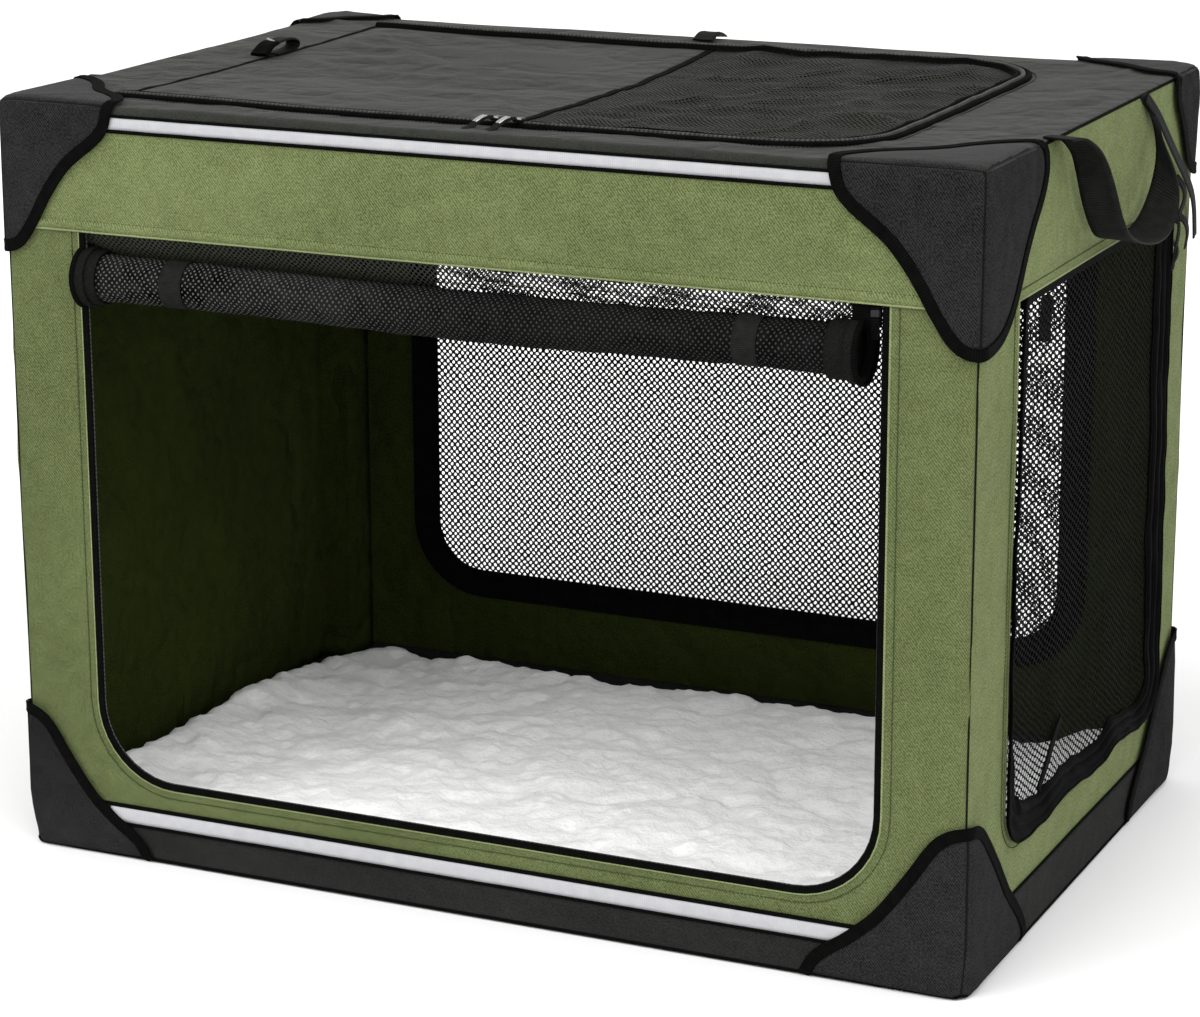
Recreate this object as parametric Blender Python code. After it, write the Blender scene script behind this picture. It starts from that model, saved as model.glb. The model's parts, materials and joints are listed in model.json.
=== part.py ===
"""Folding soft-sided dog crate: a steel tube frame that folds flat, inside a sewn fabric cover.

Metres, +Z up. The origin is on the floor under the middle of the crate. X runs along the crate, the
doorway faces -Y, and the mesh door is in the +X end.
"""

import math

import bmesh
import bpy

# Overall size of the sewn cover
LENGTH = 1.067
DEPTH = 0.711
HEIGHT = 0.813
CORNER_RADIUS = 0.032
HALF_LENGTH = LENGTH / 2
HALF_DEPTH = DEPTH / 2

# Layers of the cover, outermost first, and the clearance between two that touch
GUARD_SHEET = 0.0027
STRIP_SHEET = 0.0008
HEADER_SHEET = 0.0016
WALL_SHEET = 0.0020
LINING_SHEET = 0.0012
GAP = 0.0003

# Steel tube frame
TUBE_RADIUS = 0.0095
TUBE_WALL = 0.0010
TUBE_SIDES = 12
BLOCK_PLAY = 0.0006
BLOCK_LENGTH = 0.036
BLOCK_RISE = 0.0115
SPIGOT_LENGTH = 0.024
CHEEK_SHEET = 0.0030
CHEEK_WIDTH = 0.018
PIVOT_OFFSET = 0.0075
PIVOT_RISE = 0.0260
PIN_RADIUS = 0.0030
PIN_HOLE_RADIUS = 0.0036
PIN_SIDES = 8
POST_END = 0.009
POST_INSET = 0.0115
RIVET_HEAD_RADIUS = 0.0062
RIVET_HEAD = 0.0020

# Doorway in the front wall, with its header, strips and rolled-up mesh door
DOORWAY_JAMB = 0.0925
DOORWAY_WIDTH = LENGTH - 2 * DOORWAY_JAMB
DOORWAY_LOW = 0.084
DOORWAY_HIGH = HEIGHT - 0.123
DOORWAY_RADIUS = 0.090
HEADER_LOW = DOORWAY_HIGH - 0.011
UPPER_STRIP_LOW = HEIGHT - 0.026
UPPER_STRIP_WIDTH = 0.012
LOWER_STRIP_LOW = 0.041
LOWER_STRIP_WIDTH = 0.016
ROLL_RADIUS = 0.0280
ROLL_LENGTH = DOORWAY_WIDTH - 0.016
ROLL_HEIGHT = DOORWAY_HIGH - 0.0585
ROLL_CLOTH = 0.0055
ROLL_PITCH = 0.0080
ROLL_TURNS = 2.6
STRAP_WIDTH = 0.024
STRAP_SHEET = 0.0014
STRAP_OFFSETS = (0.106 - ROLL_LENGTH / 2, ROLL_LENGTH / 2 - 0.133)
STRAP_WRAP = 270

# Window in the back wall
WINDOW_MARGIN = 0.1285
WINDOW_WIDTH = LENGTH - 2 * WINDOW_MARGIN
WINDOW_LOW = 0.130
WINDOW_HIGH = HEIGHT - 0.143
WINDOW_RADIUS = 0.070
WINDOW_BORDER = 0.028
WINDOW_GAPS = (12, 8)

# Mesh door in the right-hand end
END_DOOR_FRONT = 0.1155 - HALF_DEPTH
END_DOOR_BACK = HALF_DEPTH - 0.0935
END_DOOR_LOW = 0.105
END_DOOR_HIGH = HEIGHT - 0.145
END_DOOR_RADIUS = 0.060
END_DOOR_BORDER = 0.026
END_DOOR_GAPS = (7, 8)

# Zipped door in the top panel: cloth on the left, mesh on the right
TOP_DOOR_LEFT = 0.1015 - HALF_LENGTH
TOP_DOOR_RIGHT = HALF_LENGTH - 0.1385
TOP_DOOR_FRONT = 0.0705 - HALF_DEPTH
TOP_DOOR_BACK = HALF_DEPTH - 0.0655
TOP_DOOR_RADIUS = 0.100
TOP_DOOR_SEAM = 0.004
TOP_DOOR_BORDER = 0.026
TOP_DOOR_GAPS = (7, 10)
DOOR_CLEARANCE = 0.0006
NET_BAR = 0.006
NET_CORNER_SHARE = 0.29

# Fabric tub that forms the floor and the base band
TUB_HEIGHT = 0.058
LINING_FOOT = 0.004
CUT_REACH = 0.020
LINING_CUT_REACH = 0.012

# Corner guards: reach along the front or back, reach along the ends, and height
TOP_GUARD = (0.155, 0.168, 0.180)
BASE_GUARD = (0.170, 0.172, 0.172)
TOP_GUARD_FRONT_CURVE = (1.35, 1.13)
TOP_GUARD_END_CURVE = (2.60, 0.60)
BASE_GUARD_FRONT_CURVE = (1.60, 1.20)
BASE_GUARD_END_CURVE = (1.30, 1.00)
TOP_GUARD_LID_CURVE = (1.25, 1.15)
GUARD_TIP = 0.004

# Fleece mat
MAT_LENGTH = LENGTH - 0.075
MAT_WIDTH = DEPTH - 0.083
MAT_HEIGHT = 0.036
MAT_RADIUS = 0.048
MAT_EDGE = 0.010
MAT_CROWN = 0.006
MAT_TUFT_DEPTH = 0.004
MAT_CELLS = (24, 16)
MAT_TUFTS = (4, 3)

# Webbing carry handles at the two ends
HANDLE_SPAN = 0.250
HANDLE_DROP = 0.112
HANDLE_WEBBING = 0.0025
HANDLE_WIDTH = 0.027
HANDLE_TOP = 0.013
HANDLE_FULLNESS = 0.8
HANDLE_STEPS = 12
HANDLE_SEWN_STEPS = 2

# Zip sliders with their pulls, and the tab that ties the open top door
SLIDER_LENGTH = 0.014
SLIDER_WIDTH = 0.008
SLIDER_HEIGHT = 0.0024
PULL_LENGTH = 0.026
PULL_WIDTH = 0.006
TOP_SLIDER_OFFSET = 0.014
END_SLIDER_HEIGHT = END_DOOR_HIGH - 0.040
TIE_LENGTH = 0.040
TIE_WIDTH = 0.024
TIE_HEIGHT = 0.0030
TIE_BACK = 0.063
TIE_STANDOFF = 0.007

# Distances inward from the overall size to each layer's outer face
HEADER_OUT = GUARD_SHEET + GAP
STRIP_OUT = HEADER_OUT - GAP - STRIP_SHEET
WALL_OUT = HEADER_OUT + HEADER_SHEET + GAP
WALL_IN = WALL_OUT + WALL_SHEET
FRAME_OUT = WALL_IN + BLOCK_PLAY

# Heights of the layers under the top guards and over the floor
LID_HIGH = HEIGHT - GUARD_SHEET - GAP
LID_LOW = LID_HIGH - WALL_SHEET
WALL_TOP = LID_LOW - GAP
BASE_RAIL = HEADER_SHEET + GAP + TUBE_RADIUS
TOP_RAIL = WALL_TOP - TUBE_RADIUS
RAIL_X = HALF_LENGTH - FRAME_OUT - TUBE_RADIUS
RAIL_Y = HALF_DEPTH - FRAME_OUT - TUBE_RADIUS

# Pivots of the four folding posts
PIVOT_X = RAIL_X - PIVOT_OFFSET
LOWER_Y = RAIL_Y - POST_INSET
UPPER_Y = LOWER_Y - 2 * TUBE_RADIUS - 2 * GAP
BASE_PIVOT = BASE_RAIL + PIVOT_RISE
TOP_PIVOT = TOP_RAIL - PIVOT_RISE
KNEE = (BASE_PIVOT + TOP_PIVOT) / 2
CHEEK_IN = TUBE_RADIUS + GAP
CHEEK_OUT = CHEEK_IN + CHEEK_SHEET
BLOCK_X = HALF_LENGTH - FRAME_OUT - BLOCK_LENGTH

LINING_X = BLOCK_X - GAP - LINING_SHEET / 2
LINING_Y = UPPER_Y - CHEEK_OUT - GAP - LINING_SHEET / 2 - BLOCK_PLAY


def material(name, colour, roughness, metallic=0.0):
    """A Principled material of one colour."""
    made = bpy.data.materials.new(name)
    made.use_nodes = True
    shader = made.node_tree.nodes["Principled BSDF"]
    shader.inputs["Base Color"].default_value = (*colour, 1.0)
    shader.inputs["Roughness"].default_value = roughness
    shader.inputs["Metallic"].default_value = metallic
    return made


FINISHES = {
    "green": ((0.16, 0.21, 0.09), 0.85),
    "charcoal": ((0.045, 0.045, 0.042), 0.88),
    "lining": ((0.06, 0.08, 0.03), 0.90),
    "mesh": ((0.012, 0.012, 0.012), 0.80),
    "webbing": ((0.015, 0.015, 0.015), 0.75),
    "reflective": ((0.75, 0.75, 0.77), 0.45),
    "fleece": ((0.82, 0.82, 0.82), 0.95),
    "steel": ((0.05, 0.05, 0.055), 0.40, 0.8),
    "rivet": ((0.60, 0.60, 0.60), 0.35, 1.0),
    "plastic": ((0.02, 0.02, 0.02), 0.50),
}


def node(name, mesh, finish):
    """Puts a finished bmesh into the scene as a named object with a material of its own."""
    bmesh.ops.recalc_face_normals(mesh, faces=mesh.faces)
    data = bpy.data.meshes.new(name)
    mesh.to_mesh(data)
    mesh.free()
    made = bpy.data.objects.new(name, data)
    bpy.context.collection.objects.link(made)
    if finish:
        data.materials.append(material(name, *FINISHES[finish]))
    return made


def combine(made, other, operation):
    """Adds an EXACT Boolean with a hidden object."""
    other.hide_render = True
    other.display_type = "WIRE"
    boolean = made.modifiers.new(other.name, "BOOLEAN")
    boolean.object = other
    boolean.operation = operation
    boolean.solver = "EXACT"


def smooth(made):
    """Shades a round piece smooth, with its edges sharp."""
    made.data.shade_smooth()
    made.data.set_sharp_from_angle(angle=math.radians(35))


def lay(axis, u, v, w):
    """A point from two in-plane values and one along the axis that a shape is extruded on."""
    if axis == "X":
        return (w, u, v)
    if axis == "Y":
        return (u, w, v)
    return (u, v, w)


def prism(outline, axis, low, high):
    """A closed solid of a flat outline, extruded from low to high along an axis."""
    mesh = bmesh.new()
    ends = [[mesh.verts.new(lay(axis, u, v, w)) for u, v in outline] for w in (low, high)]
    mesh.faces.new(ends[0])
    mesh.faces.new(reversed(ends[1]))
    for i in range(len(outline)):
        j = (i + 1) % len(outline)
        mesh.faces.new((ends[0][i], ends[1][i], ends[1][j], ends[0][j]))
    return mesh


def sides_of(path, thickness):
    """The two edges of a sheet whose middle follows a path."""
    left, right = [], []
    for i, (u, v) in enumerate(path):
        before = path[max(i - 1, 0)]
        after = path[min(i + 1, len(path) - 1)]
        into = (u - before[0], v - before[1])
        out = (after[0] - u, after[1] - v)
        normal = [0.0, 0.0]
        for du, dv in (into, out):
            size = math.hypot(du, dv)
            if size > 1e-9:
                normal[0] -= dv / size
                normal[1] += du / size
        size = math.hypot(*normal)
        normal = (normal[0] / size, normal[1] / size)
        turn = into if math.hypot(*into) > 1e-9 else out
        cosine = (normal[1] * turn[0] - normal[0] * turn[1]) / math.hypot(*turn)
        reach = thickness / 2 / max(cosine, 0.4)
        left.append((u + normal[0] * reach, v + normal[1] * reach))
        right.append((u - normal[0] * reach, v - normal[1] * reach))
    return left, right


def ribbon(path, thickness, axis, low, high):
    """A closed sheet that follows a path and is extruded along an axis.

    low and high are heights, or functions of the index along the path that give them.
    """
    left, right = sides_of(path, thickness)
    mesh = bmesh.new()
    rows = []
    for i in range(len(path)):
        bottom = low(i) if callable(low) else low
        top = high(i) if callable(high) else high
        corners = ((*left[i], bottom), (*right[i], bottom), (*right[i], top), (*left[i], top))
        rows.append([mesh.verts.new(lay(axis, *corner)) for corner in corners])
    for first, second in zip(rows, rows[1:]):
        for k in range(4):
            m = (k + 1) % 4
            mesh.faces.new((first[k], first[m], second[m], second[k]))
    mesh.faces.new(rows[0])
    mesh.faces.new(reversed(rows[-1]))
    return mesh


def box(low, high):
    """A closed box between two corners."""
    outline = ((low[0], low[1]), (high[0], low[1]), (high[0], high[1]), (low[0], high[1]))
    return prism(outline, "Z", low[2], high[2])


def circle(centre, radius, sides, phase=0.5):
    """Points round a circle, with a flat side on each axis."""
    points = []
    for i in range(sides):
        angle = (i + phase) * math.tau / sides
        points.append((centre[0] + radius * math.cos(angle), centre[1] + radius * math.sin(angle)))
    return points


def rounded(u0, u1, v0, v1, radii, steps=5):
    """A rectangle's outline with a radius at each corner: low-low, high-low, high-high, low-high."""
    corners = ((u0, v0, 1, 1, 180), (u1, v0, -1, 1, 270), (u1, v1, -1, -1, 0), (u0, v1, 1, -1, 90))
    points = []
    for (u, v, du, dv, start), radius in zip(corners, radii):
        if radius <= 0:
            points.append((u, v))
            continue
        for i in range(steps + 1):
            angle = math.radians(start + 90 * i / steps)
            points.append((u + du * radius + radius * math.cos(angle),
                           v + dv * radius + radius * math.sin(angle)))
    return points


def plan(offset, steps=6):
    """The crate's outline seen from above, at a distance inward from the overall size."""
    radius = CORNER_RADIUS - offset
    return rounded(-HALF_LENGTH + offset, HALF_LENGTH - offset, -HALF_DEPTH + offset,
                   HALF_DEPTH - offset, (radius,) * 4, steps)


def tube(name, axis, centre, low, high, finish):
    """An open-ended tube along an axis."""
    mesh = bmesh.new()
    rings = []
    for w in (low, high):
        for radius in (TUBE_RADIUS, TUBE_RADIUS - TUBE_WALL):
            outline = circle(centre, radius, TUBE_SIDES)
            rings.append([mesh.verts.new(lay(axis, u, v, w)) for u, v in outline])
    outer_low, inner_low, outer_high, inner_high = rings
    for i in range(TUBE_SIDES):
        j = (i + 1) % TUBE_SIDES
        mesh.faces.new((outer_low[i], outer_low[j], outer_high[j], outer_high[i]))
        mesh.faces.new((inner_low[j], inner_low[i], inner_high[i], inner_high[j]))
        mesh.faces.new((outer_low[j], outer_low[i], inner_low[i], inner_low[j]))
        mesh.faces.new((outer_high[i], outer_high[j], inner_high[j], inner_high[i]))
    made = node(name, mesh, finish)
    smooth(made)
    return made


def side_name(sign):
    """Which end of the crate a sign stands for."""
    return "left" if sign < 0 else "right"


def face_name(sign):
    """Which long face of the crate a sign stands for."""
    return "front" if sign < 0 else "back"


def build_rails():
    """Eight straight tubes: four round the base and four round the top."""
    for level, height in (("base", BASE_RAIL), ("top", TOP_RAIL)):
        reach = BLOCK_X - GAP
        for sign in (-1, 1):
            tube(f"{level}_{face_name(sign)}_rail", "X", (sign * RAIL_Y, height), -reach, reach, "steel")
        reach = block_inner_y(level) - GAP
        for sign in (-1, 1):
            tube(f"{level}_{side_name(sign)}_rail", "Y", (sign * RAIL_X, height), -reach, reach, "steel")


def block_inner_y(level):
    """Where a corner block ends, measured from the middle of the crate."""
    post = LOWER_Y if level == "base" else UPPER_Y
    return post - CHEEK_OUT


def build_blocks():
    """Eight corner blocks: a body with two spigots in the rails, and a fork with the post's pin."""
    for level, rail, up in (("base", BASE_RAIL, 1), ("top", TOP_RAIL, -1)):
        post = LOWER_Y if level == "base" else UPPER_Y
        inner = block_inner_y(level)
        pivot = rail + up * PIVOT_RISE
        body_end = rail + up * BLOCK_RISE
        seat = rail - up * TUBE_RADIUS
        fork_end = pivot + up * (TUBE_RADIUS + GAP)
        for x_sign in (-1, 1):
            for y_sign in (-1, 1):
                name = f"{level}_{face_name(y_sign)}_{side_name(x_sign)}_block"
                radius = CORNER_RADIUS - FRAME_OUT
                outline = rounded(BLOCK_X, HALF_LENGTH - FRAME_OUT, inner, HALF_DEPTH - FRAME_OUT,
                                  (0, 0, radius, 0), 4)
                outline = [(x_sign * x, y_sign * y) for x, y in outline]
                made = node(name, prism(outline, "Z", min(seat, body_end), max(seat, body_end)), "plastic")
                bore = TUBE_RADIUS - TUBE_WALL - GAP
                root = BLOCK_X + SPIGOT_LENGTH / 4
                ends = sorted((x_sign * root, x_sign * (BLOCK_X - SPIGOT_LENGTH)))
                spigot = prism(circle((y_sign * RAIL_Y, rail), bore, TUBE_SIDES), "X", *ends)
                combine(made, node(name + "_long_spigot", spigot, None), "UNION")
                ends = sorted((y_sign * (inner + SPIGOT_LENGTH / 4), y_sign * (inner - SPIGOT_LENGTH)))
                spigot = prism(circle((x_sign * RAIL_X, rail), bore, TUBE_SIDES), "Y", *ends)
                combine(made, node(name + "_end_spigot", spigot, None), "UNION")
                for cheek in (-1, 1):
                    near, far = sorted((post + cheek * CHEEK_IN, post + cheek * CHEEK_OUT))
                    y_ends = sorted((y_sign * near, y_sign * far))
                    z_ends = sorted((body_end - up * BLOCK_RISE / 2, fork_end))
                    x_middle = x_sign * PIVOT_X
                    wall = box((x_middle - CHEEK_WIDTH / 2, y_ends[0], z_ends[0]),
                               (x_middle + CHEEK_WIDTH / 2, y_ends[1], z_ends[1]))
                    combine(made, node(f"{name}_cheek{cheek}", wall, None), "UNION")
                half = CHEEK_IN + CHEEK_SHEET / 2
                pin = prism(circle((x_sign * PIVOT_X, pivot), PIN_RADIUS, PIN_SIDES), "Y",
                            y_sign * post - half, y_sign * post + half)
                combine(made, node(name + "_pin", pin, None), "UNION")


def build_posts():
    """Four posts, each in two halves side by side at the knee, with the knee's rivet."""
    for x_sign in (-1, 1):
        for y_sign in (-1, 1):
            where = f"{face_name(y_sign)}_{side_name(x_sign)}"
            x = x_sign * PIVOT_X
            for half, y, low, high in (("lower", LOWER_Y, BASE_PIVOT, KNEE),
                                       ("upper", UPPER_Y, KNEE, TOP_PIVOT)):
                made = tube(f"{where}_{half}_post", "Z", (x, y_sign * y), low - POST_END,
                            high + POST_END, "steel")
                for level, height in (("low", low), ("high", high)):
                    drill = prism(circle((x, height), PIN_HOLE_RADIUS, PIN_SIDES), "Y",
                                  y_sign * y - 2 * TUBE_RADIUS, y_sign * y + 2 * TUBE_RADIUS)
                    combine(made, node(f"{made.name}_{level}_hole", drill, None), "DIFFERENCE")
            outer = LOWER_Y + TUBE_RADIUS + GAP
            inner = UPPER_Y - TUBE_RADIUS - GAP
            profile = ((inner - RIVET_HEAD, RIVET_HEAD_RADIUS), (inner, RIVET_HEAD_RADIUS),
                       (inner, PIN_RADIUS), (outer, PIN_RADIUS), (outer, RIVET_HEAD_RADIUS),
                       (outer + RIVET_HEAD, RIVET_HEAD_RADIUS))
            mesh = bmesh.new()
            rings = []
            for y, radius in profile:
                outline = circle((x, KNEE), radius, PIN_SIDES)
                rings.append([mesh.verts.new((u, y_sign * y, v)) for u, v in outline])
            mesh.faces.new(rings[0])
            mesh.faces.new(rings[-1])
            for first, second in zip(rings, rings[1:]):
                for i in range(PIN_SIDES):
                    j = (i + 1) % PIN_SIDES
                    mesh.faces.new((first[i], first[j], second[j], second[i]))
            smooth(node(f"{where}_knee_rivet", mesh, "rivet"))


def wall_path(facing):
    """The middle of a wall's sheet from above, from one corner's seam to the next.

    facing is the direction the wall looks in, in degrees from +X.
    """
    offset = WALL_OUT + WALL_SHEET / 2
    radius = CORNER_RADIUS - offset
    trim = math.degrees(GAP / 2 / radius)
    along_x = facing % 180 == 90
    half_run = (HALF_LENGTH if along_x else HALF_DEPTH) - CORNER_RADIUS
    out = (HALF_DEPTH if along_x else HALF_LENGTH) - CORNER_RADIUS
    turn = math.radians(facing)
    path = []
    for side, angles in ((-1, (-45 + trim, -30, -15, 0)), (1, (0, 15, 30, 45 - trim))):
        for angle in angles:
            u = out + radius * math.cos(math.radians(angle))
            v = side * half_run + radius * math.sin(math.radians(angle))
            path.append((u * math.cos(turn) - v * math.sin(turn), u * math.sin(turn) + v * math.cos(turn)))
    return path


def wall(name, facing):
    """A full-height wall that takes in half of the corner at each side."""
    low = HEADER_SHEET + GAP
    return node(name, ribbon(wall_path(facing), WALL_SHEET, "Z", low, WALL_TOP), "green")


def build_walls():
    """The four walls, with the doorway, the window and the end door cut out."""
    front = wall("front_wall", -90)
    doorway = rounded(-DOORWAY_WIDTH / 2, DOORWAY_WIDTH / 2, DOORWAY_LOW, DOORWAY_HIGH,
                      (DOORWAY_RADIUS, DOORWAY_RADIUS, 0, 0), 8)
    cutter = prism(doorway, "Y", -HALF_DEPTH - CUT_REACH, -HALF_DEPTH + CUT_REACH)
    combine(front, node("doorway_cut", cutter, None), "DIFFERENCE")
    back = wall("back_wall", 90)
    cutter = prism(window_outline(0.0), "Y", HALF_DEPTH - CUT_REACH, HALF_DEPTH + CUT_REACH)
    combine(back, node("window_cut", cutter, None), "DIFFERENCE")
    right = wall("right_wall", 0)
    cutter = prism(end_door_outline(0.0), "X", HALF_LENGTH - CUT_REACH, HALF_LENGTH + CUT_REACH)
    combine(right, node("end_door_cut", cutter, None), "DIFFERENCE")
    wall("left_wall", 180)


def window_outline(inset):
    """The back window's outline, at a distance inside the opening's edge."""
    radius = WINDOW_RADIUS - inset
    return rounded(-WINDOW_WIDTH / 2 + inset, WINDOW_WIDTH / 2 - inset, WINDOW_LOW + inset,
                   WINDOW_HIGH - inset, (radius, radius, 0, 0), 6)


def end_door_outline(inset):
    """The end door's outline, at a distance inside the opening's edge."""
    radius = END_DOOR_RADIUS - inset
    return rounded(END_DOOR_FRONT + inset, END_DOOR_BACK - inset, END_DOOR_LOW + inset,
                   END_DOOR_HIGH - inset, (radius, radius, 0, 0), 6)


def top_door_outline(inset):
    """The top door's outline, at a distance inside the opening's edge."""
    radius = TOP_DOOR_RADIUS - inset
    return rounded(TOP_DOOR_LEFT + inset, TOP_DOOR_RIGHT - inset, TOP_DOOR_FRONT + inset,
                   TOP_DOOR_BACK - inset, (0, radius, radius, 0), 6)


def cut_net(made, area, counts, axis, low, high, corner, rounded_at):
    """Cuts a grid of gaps through a flat sheet, leaving out those in the rounded corners."""
    u0, u1, v0, v1 = area
    pitch_u = (u1 - u0) / counts[0]
    pitch_v = (v1 - v0) / counts[1]
    mesh = bmesh.new()
    for i in range(counts[0]):
        for j in range(counts[1]):
            u = u0 + (i + 0.5) * pitch_u
            v = v0 + (j + 0.5) * pitch_v
            half_u = (pitch_u - NET_BAR) / 2
            half_v = (pitch_v - NET_BAR) / 2
            outside = False
            for corner_u, corner_v in rounded_at:
                du = abs(u - corner_u) - half_u
                dv = abs(v - corner_v) - half_v
                if max(du, dv) < corner * NET_CORNER_SHARE:
                    outside = True
            if outside:
                continue
            cell = ((u - half_u, v - half_v), (u + half_u, v - half_v),
                    (u + half_u, v + half_v), (u - half_u, v + half_v))
            ends = [[mesh.verts.new(lay(axis, p, q, w)) for p, q in cell] for w in (low, high)]
            mesh.faces.new(ends[0])
            mesh.faces.new(reversed(ends[1]))
            for k in range(4):
                m = (k + 1) % 4
                mesh.faces.new((ends[0][k], ends[1][k], ends[1][m], ends[0][m]))
    combine(made, node(made.name + "_gaps", mesh, None), "DIFFERENCE")


def build_window():
    """The back window's net in its border."""
    outer = HALF_DEPTH - WALL_OUT
    made = node("back_window", prism(window_outline(DOOR_CLEARANCE), "Y", outer - WALL_SHEET, outer), "mesh")
    half = WINDOW_WIDTH / 2 - WINDOW_BORDER
    low = WINDOW_LOW + WINDOW_BORDER
    cut_net(made, (-half, half, low, WINDOW_HIGH - WINDOW_BORDER), WINDOW_GAPS, "Y",
            outer - 3 * WALL_SHEET, outer + 2 * WALL_SHEET, WINDOW_RADIUS, ((-half, low), (half, low)))


def build_end_door():
    """The mesh door in the right-hand end, hinged along its top edge."""
    outer = HALF_LENGTH - WALL_OUT
    made = node("end_door", prism(end_door_outline(DOOR_CLEARANCE), "X", outer - WALL_SHEET, outer), "mesh")
    front = END_DOOR_FRONT + END_DOOR_BORDER
    back = END_DOOR_BACK - END_DOOR_BORDER
    low = END_DOOR_LOW + END_DOOR_BORDER
    cut_net(made, (front, back, low, END_DOOR_HIGH - END_DOOR_BORDER), END_DOOR_GAPS, "X",
            outer - 3 * WALL_SHEET, outer + 2 * WALL_SHEET, END_DOOR_RADIUS, ((front, low), (back, low)))


def build_top():
    """The top panel and the zipped door in it."""
    panel = node("top_panel", prism(plan(WALL_OUT + GAP), "Z", LID_LOW, LID_HIGH), "charcoal")
    through = 2 * WALL_SHEET
    cutter = prism(top_door_outline(0.0), "Z", LID_LOW - through, LID_HIGH + through)
    combine(panel, node("top_door_cut", cutter, None), "DIFFERENCE")
    door = node("top_door", prism(top_door_outline(DOOR_CLEARANCE), "Z", LID_LOW, LID_HIGH), "charcoal")
    right = TOP_DOOR_RIGHT - TOP_DOOR_BORDER
    front = TOP_DOOR_FRONT + TOP_DOOR_BORDER
    back = TOP_DOOR_BACK - TOP_DOOR_BORDER
    cut_net(door, (TOP_DOOR_SEAM + TOP_DOOR_BORDER / 2, right, front, back), TOP_DOOR_GAPS, "Z",
            LID_LOW - through, LID_HIGH + through, TOP_DOOR_RADIUS, ((right, front), (right, back)))


def build_linings():
    """A lining at each end, which boxes in the folding posts at the corners."""
    low = BASE_RAIL + BLOCK_RISE + LINING_FOOT - GAP
    high = TOP_RAIL - BLOCK_RISE - GAP
    wall_y = HALF_DEPTH - WALL_IN - GAP
    flat_x = HALF_LENGTH - WALL_IN - GAP - LINING_SHEET / 2
    for sign in (-1, 1):
        path = ((LINING_X, -wall_y), (LINING_X, -LINING_Y), (flat_x, -LINING_Y),
                (flat_x, LINING_Y), (LINING_X, LINING_Y), (LINING_X, wall_y))
        path = [(sign * x, y) for x, y in path]
        made = node(f"{side_name(sign)}_lining", ribbon(path, LINING_SHEET, "Z", low, high), "lining")
        if sign > 0:
            cutter = prism(end_door_outline(0.0), "X", flat_x - LINING_CUT_REACH,
                           flat_x + LINING_CUT_REACH)
            combine(made, node("lining_cut", cutter, None), "DIFFERENCE")


def build_front_trim():
    """The header over the doorway and the two reflective strips."""
    outer = -HALF_DEPTH + HEADER_OUT
    half = HALF_LENGTH - CORNER_RADIUS
    top = WALL_TOP
    header = box((-half, outer, HEADER_LOW), (half, outer + HEADER_SHEET, top))
    node("front_header", header, "green")
    outer = -HALF_DEPTH + STRIP_OUT
    for name, low, width, guard in (("upper_strip", UPPER_STRIP_LOW, UPPER_STRIP_WIDTH, TOP_GUARD),
                                    ("lower_strip", LOWER_STRIP_LOW, LOWER_STRIP_WIDTH, BASE_GUARD)):
        half = HALF_LENGTH - guard[0] - GAP
        strip = box((-half, outer, low), (half, outer + STRIP_SHEET, low + width))
        node(name, strip, "reflective")


def build_tub():
    """The floor and the charcoal band round the base, sewn as one tub."""
    tub = node("base_tub", prism(plan(HEADER_OUT), "Z", 0.0, TUB_HEIGHT), "charcoal")
    inside = prism(plan(HEADER_OUT + HEADER_SHEET), "Z", HEADER_SHEET, TUB_HEIGHT + HEADER_SHEET)
    combine(tub, node("tub_inside", inside, None), "DIFFERENCE")


def drop_of(distance, reach, height, curve):
    """How far a guard's edge lies from the corner's end, at a distance along the face."""
    share = min(distance / reach, 1.0)
    return max(height * (1 - share ** curve[0]) ** curve[1], GUARD_TIP)


def guard_path(reach_x, reach_y, curves, height, x_sign, y_sign):
    """The middle of a guard's sheet round a corner, and the guard's height at each point."""
    offset = GUARD_SHEET / 2
    steps = 9
    points = []
    for i in range(steps):
        distance = reach_x - (reach_x - CORNER_RADIUS) * i / (steps - 1)
        points.append((HALF_LENGTH - distance, HALF_DEPTH - offset,
                       drop_of(distance, reach_x, height, curves[0])))
    radius = CORNER_RADIUS - offset
    for angle in (75, 60, 45, 30, 15):
        turn = math.radians(angle)
        share = CORNER_RADIUS * (1 - abs(angle - 45) / 45)
        reach, curve = (reach_x, curves[0]) if angle > 45 else (reach_y, curves[1])
        points.append((HALF_LENGTH - CORNER_RADIUS + radius * math.cos(turn),
                       HALF_DEPTH - CORNER_RADIUS + radius * math.sin(turn),
                       drop_of(CORNER_RADIUS - share, reach, height, curve)))
    for i in range(steps):
        distance = CORNER_RADIUS + (reach_y - CORNER_RADIUS) * i / (steps - 1)
        points.append((HALF_LENGTH - offset, HALF_DEPTH - distance,
                       drop_of(distance, reach_y, height, curves[1])))
    return [(x_sign * x, y_sign * y) for x, y, _ in points], [drop for _, _, drop in points]


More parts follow.
